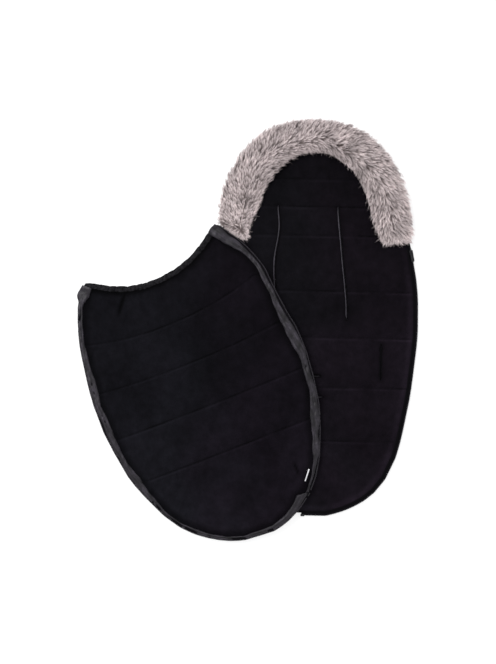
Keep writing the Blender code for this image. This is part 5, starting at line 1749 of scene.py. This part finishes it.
class MESH_OT_footmuff_zips(bpy.types.Operator):
    """Wind the zip coils and finish the zip fittings"""
    bl_idname = "mesh.footmuff_zips"
    bl_label = "Zips"

    def execute(self, context):
        zip_halves()
        metal = moulded_look("slider_metal", colours().slider, 0.38, 0.5, metallic=0.6)
        nylon = moulded_look("dark_nylon", colours().tape, 0.4, 0.3)
        for name, look in (("right_zip_slider", metal), ("right_zip_puller", metal),
                           ("left_zip_slider", metal), ("left_zip_puller", metal),
                           ("liner_zip_box", nylon), ("cover_zip_pin", nylon),
                           ("fur_backing", fur_skin_look())):
            looks = frame["nodes"][name].data.materials
            looks.clear()
            looks.append(look)
        return {"FINISHED"}


class MESH_OT_footmuff_fur(bpy.types.Operator):
    """Grow the long pile round the hood edge"""
    bl_idname = "mesh.footmuff_fur"
    bl_label = "Fur Edge"

    def execute(self, context):
        band = Band()
        fur_skin(band)
        fur_hairs(band)
        return {"FINISHED"}


class MESH_OT_footmuff_stage(bpy.types.Operator):
    """Set the camera, the floor and the studio light"""
    bl_idname = "mesh.footmuff_stage"
    bl_label = "Stage"

    def execute(self, context):
        build_floor()
        build_camera(context.scene)
        build_light(context.scene)
        return {"FINISHED"}


def build_floor():
    """Wide white floor that shows white to the camera and keeps a soft shadow."""
    half = FLOOR_HALF
    corners = [(-half, -half, 0.0), (half, -half, 0.0), (half, half, 0.0), (-half, half, 0.0)]
    look = bpy.data.materials.new("studio_floor")
    look.use_nodes = True
    tree = look.node_tree
    tree.nodes.remove(tree.nodes["Principled BSDF"])
    end = tree.nodes["Material Output"]
    paint = tree.nodes.new("ShaderNodeBsdfDiffuse")
    glow = tree.nodes.new("ShaderNodeEmission")
    both = tree.nodes.new("ShaderNodeAddShader")
    rays = tree.nodes.new("ShaderNodeLightPath")
    seen = math_node(tree, "MAXIMUM", rays.outputs["Is Camera Ray"],
                     math_node(tree, "MAXIMUM", rays.outputs["Is Glossy Ray"],
                               rays.outputs["Is Transmission Ray"]))
    shade = mix_colours(tree, seen, FLOOR_BRIGHT, FLOOR_SEEN)
    tree.links.new(shade, paint.inputs["Color"])
    tree.links.new(math_node(tree, "MULTIPLY", seen, FLOOR_GLOW), glow.inputs["Strength"])
    tree.links.new(paint.outputs[0], both.inputs[0])
    tree.links.new(glow.outputs[0], both.inputs[1])
    tree.links.new(both.outputs[0], end.inputs["Surface"])
    floor = new_piece("studio_floor", corners, [(0, 1, 2, 3)], look, smooth=False)
    floor.location.z = -FLOOR_DROP


def build_camera(scene):
    """Camera straight above, framed as the photograph."""
    data = bpy.data.cameras.new("camera")
    data.sensor_width = SENSOR_SIDE
    data.lens = SENSOR_SIDE * (CAMERA_HEIGHT - VIEW_LEVEL) / VIEW_LENGTH
    camera = bpy.data.objects.new("camera", data)
    camera.location = (CAMERA_X, CAMERA_Y, CAMERA_HEIGHT)
    camera.rotation_euler = (0.0, 0.0, CAMERA_TURN)
    scene.collection.objects.link(camera)
    scene.camera = camera


def build_light(scene):
    """Even white room and one wide soft light from the head end."""
    scene.view_settings.view_transform = "Standard"
    world = bpy.data.worlds.new("studio")
    world.use_nodes = True
    tree = world.node_tree
    back = tree.nodes["Background"]
    rays = tree.nodes.new("ShaderNodeLightPath")
    seen = math_node(tree, "MAXIMUM", rays.outputs["Is Camera Ray"], rays.outputs["Is Transmission Ray"])
    shade = mix_colours(tree, seen, ROOM_BRIGHT, ROOM_SEEN)
    tree.links.new(shade, back.inputs["Color"])
    scene.world = world
    lamp = bpy.data.lights.new("softbox", "AREA")
    lamp.shape = "RECTANGLE"
    lamp.size, lamp.size_y = LAMP_SIZE
    lamp.energy = LAMP_POWER
    softbox = bpy.data.objects.new("softbox", lamp)
    softbox.location = LAMP_PLACE
    softbox.rotation_euler = (LAMP_AIM - softbox.location).to_track_quat("-Z", "Y").to_euler()
    scene.collection.objects.link(softbox)


class VIEW3D_PT_footmuff(bpy.types.Panel):
    """Shows the footmuff's sizes, colours and building steps"""
    bl_label = "Stroller Footmuff"
    bl_space_type = "VIEW_3D"
    bl_region_type = "UI"
    bl_category = "Footmuff"

    def draw(self, context):
        for group in (context.scene.footmuff_sizes, context.scene.footmuff_colours):
            for name in group.__annotations__:
                self.layout.prop(group, name)
        for step in STEPS:
            self.layout.operator(step.bl_idname)


STEPS = (MESH_OT_footmuff_stage, MESH_OT_footmuff_liner, MESH_OT_footmuff_cover, MESH_OT_footmuff_lips,
         MESH_OT_footmuff_edges, MESH_OT_footmuff_zips, MESH_OT_footmuff_fur)
CLASSES = (FootmuffSizes, FootmuffColours, *STEPS, VIEW3D_PT_footmuff)


def register():
    """Make the classes known and add the scene's properties."""
    for item in CLASSES:
        bpy.utils.register_class(item)
    bpy.types.Scene.footmuff_sizes = PointerProperty(type=FootmuffSizes)
    bpy.types.Scene.footmuff_colours = PointerProperty(type=FootmuffColours)


def unregister():
    """Take the properties and the classes away."""
    del bpy.types.Scene.footmuff_colours
    del bpy.types.Scene.footmuff_sizes
    for item in reversed(CLASSES):
        bpy.utils.unregister_class(item)


def main():
    """Dress the whole footmuff."""
    register()
    bpy.ops.mesh.footmuff_stage()
    bpy.ops.mesh.footmuff_liner()
    bpy.ops.mesh.footmuff_cover()
    bpy.ops.mesh.footmuff_lips()
    bpy.ops.mesh.footmuff_edges()
    bpy.ops.mesh.footmuff_zips()
    bpy.ops.mesh.footmuff_fur()


if __name__ == "__main__":
    main()
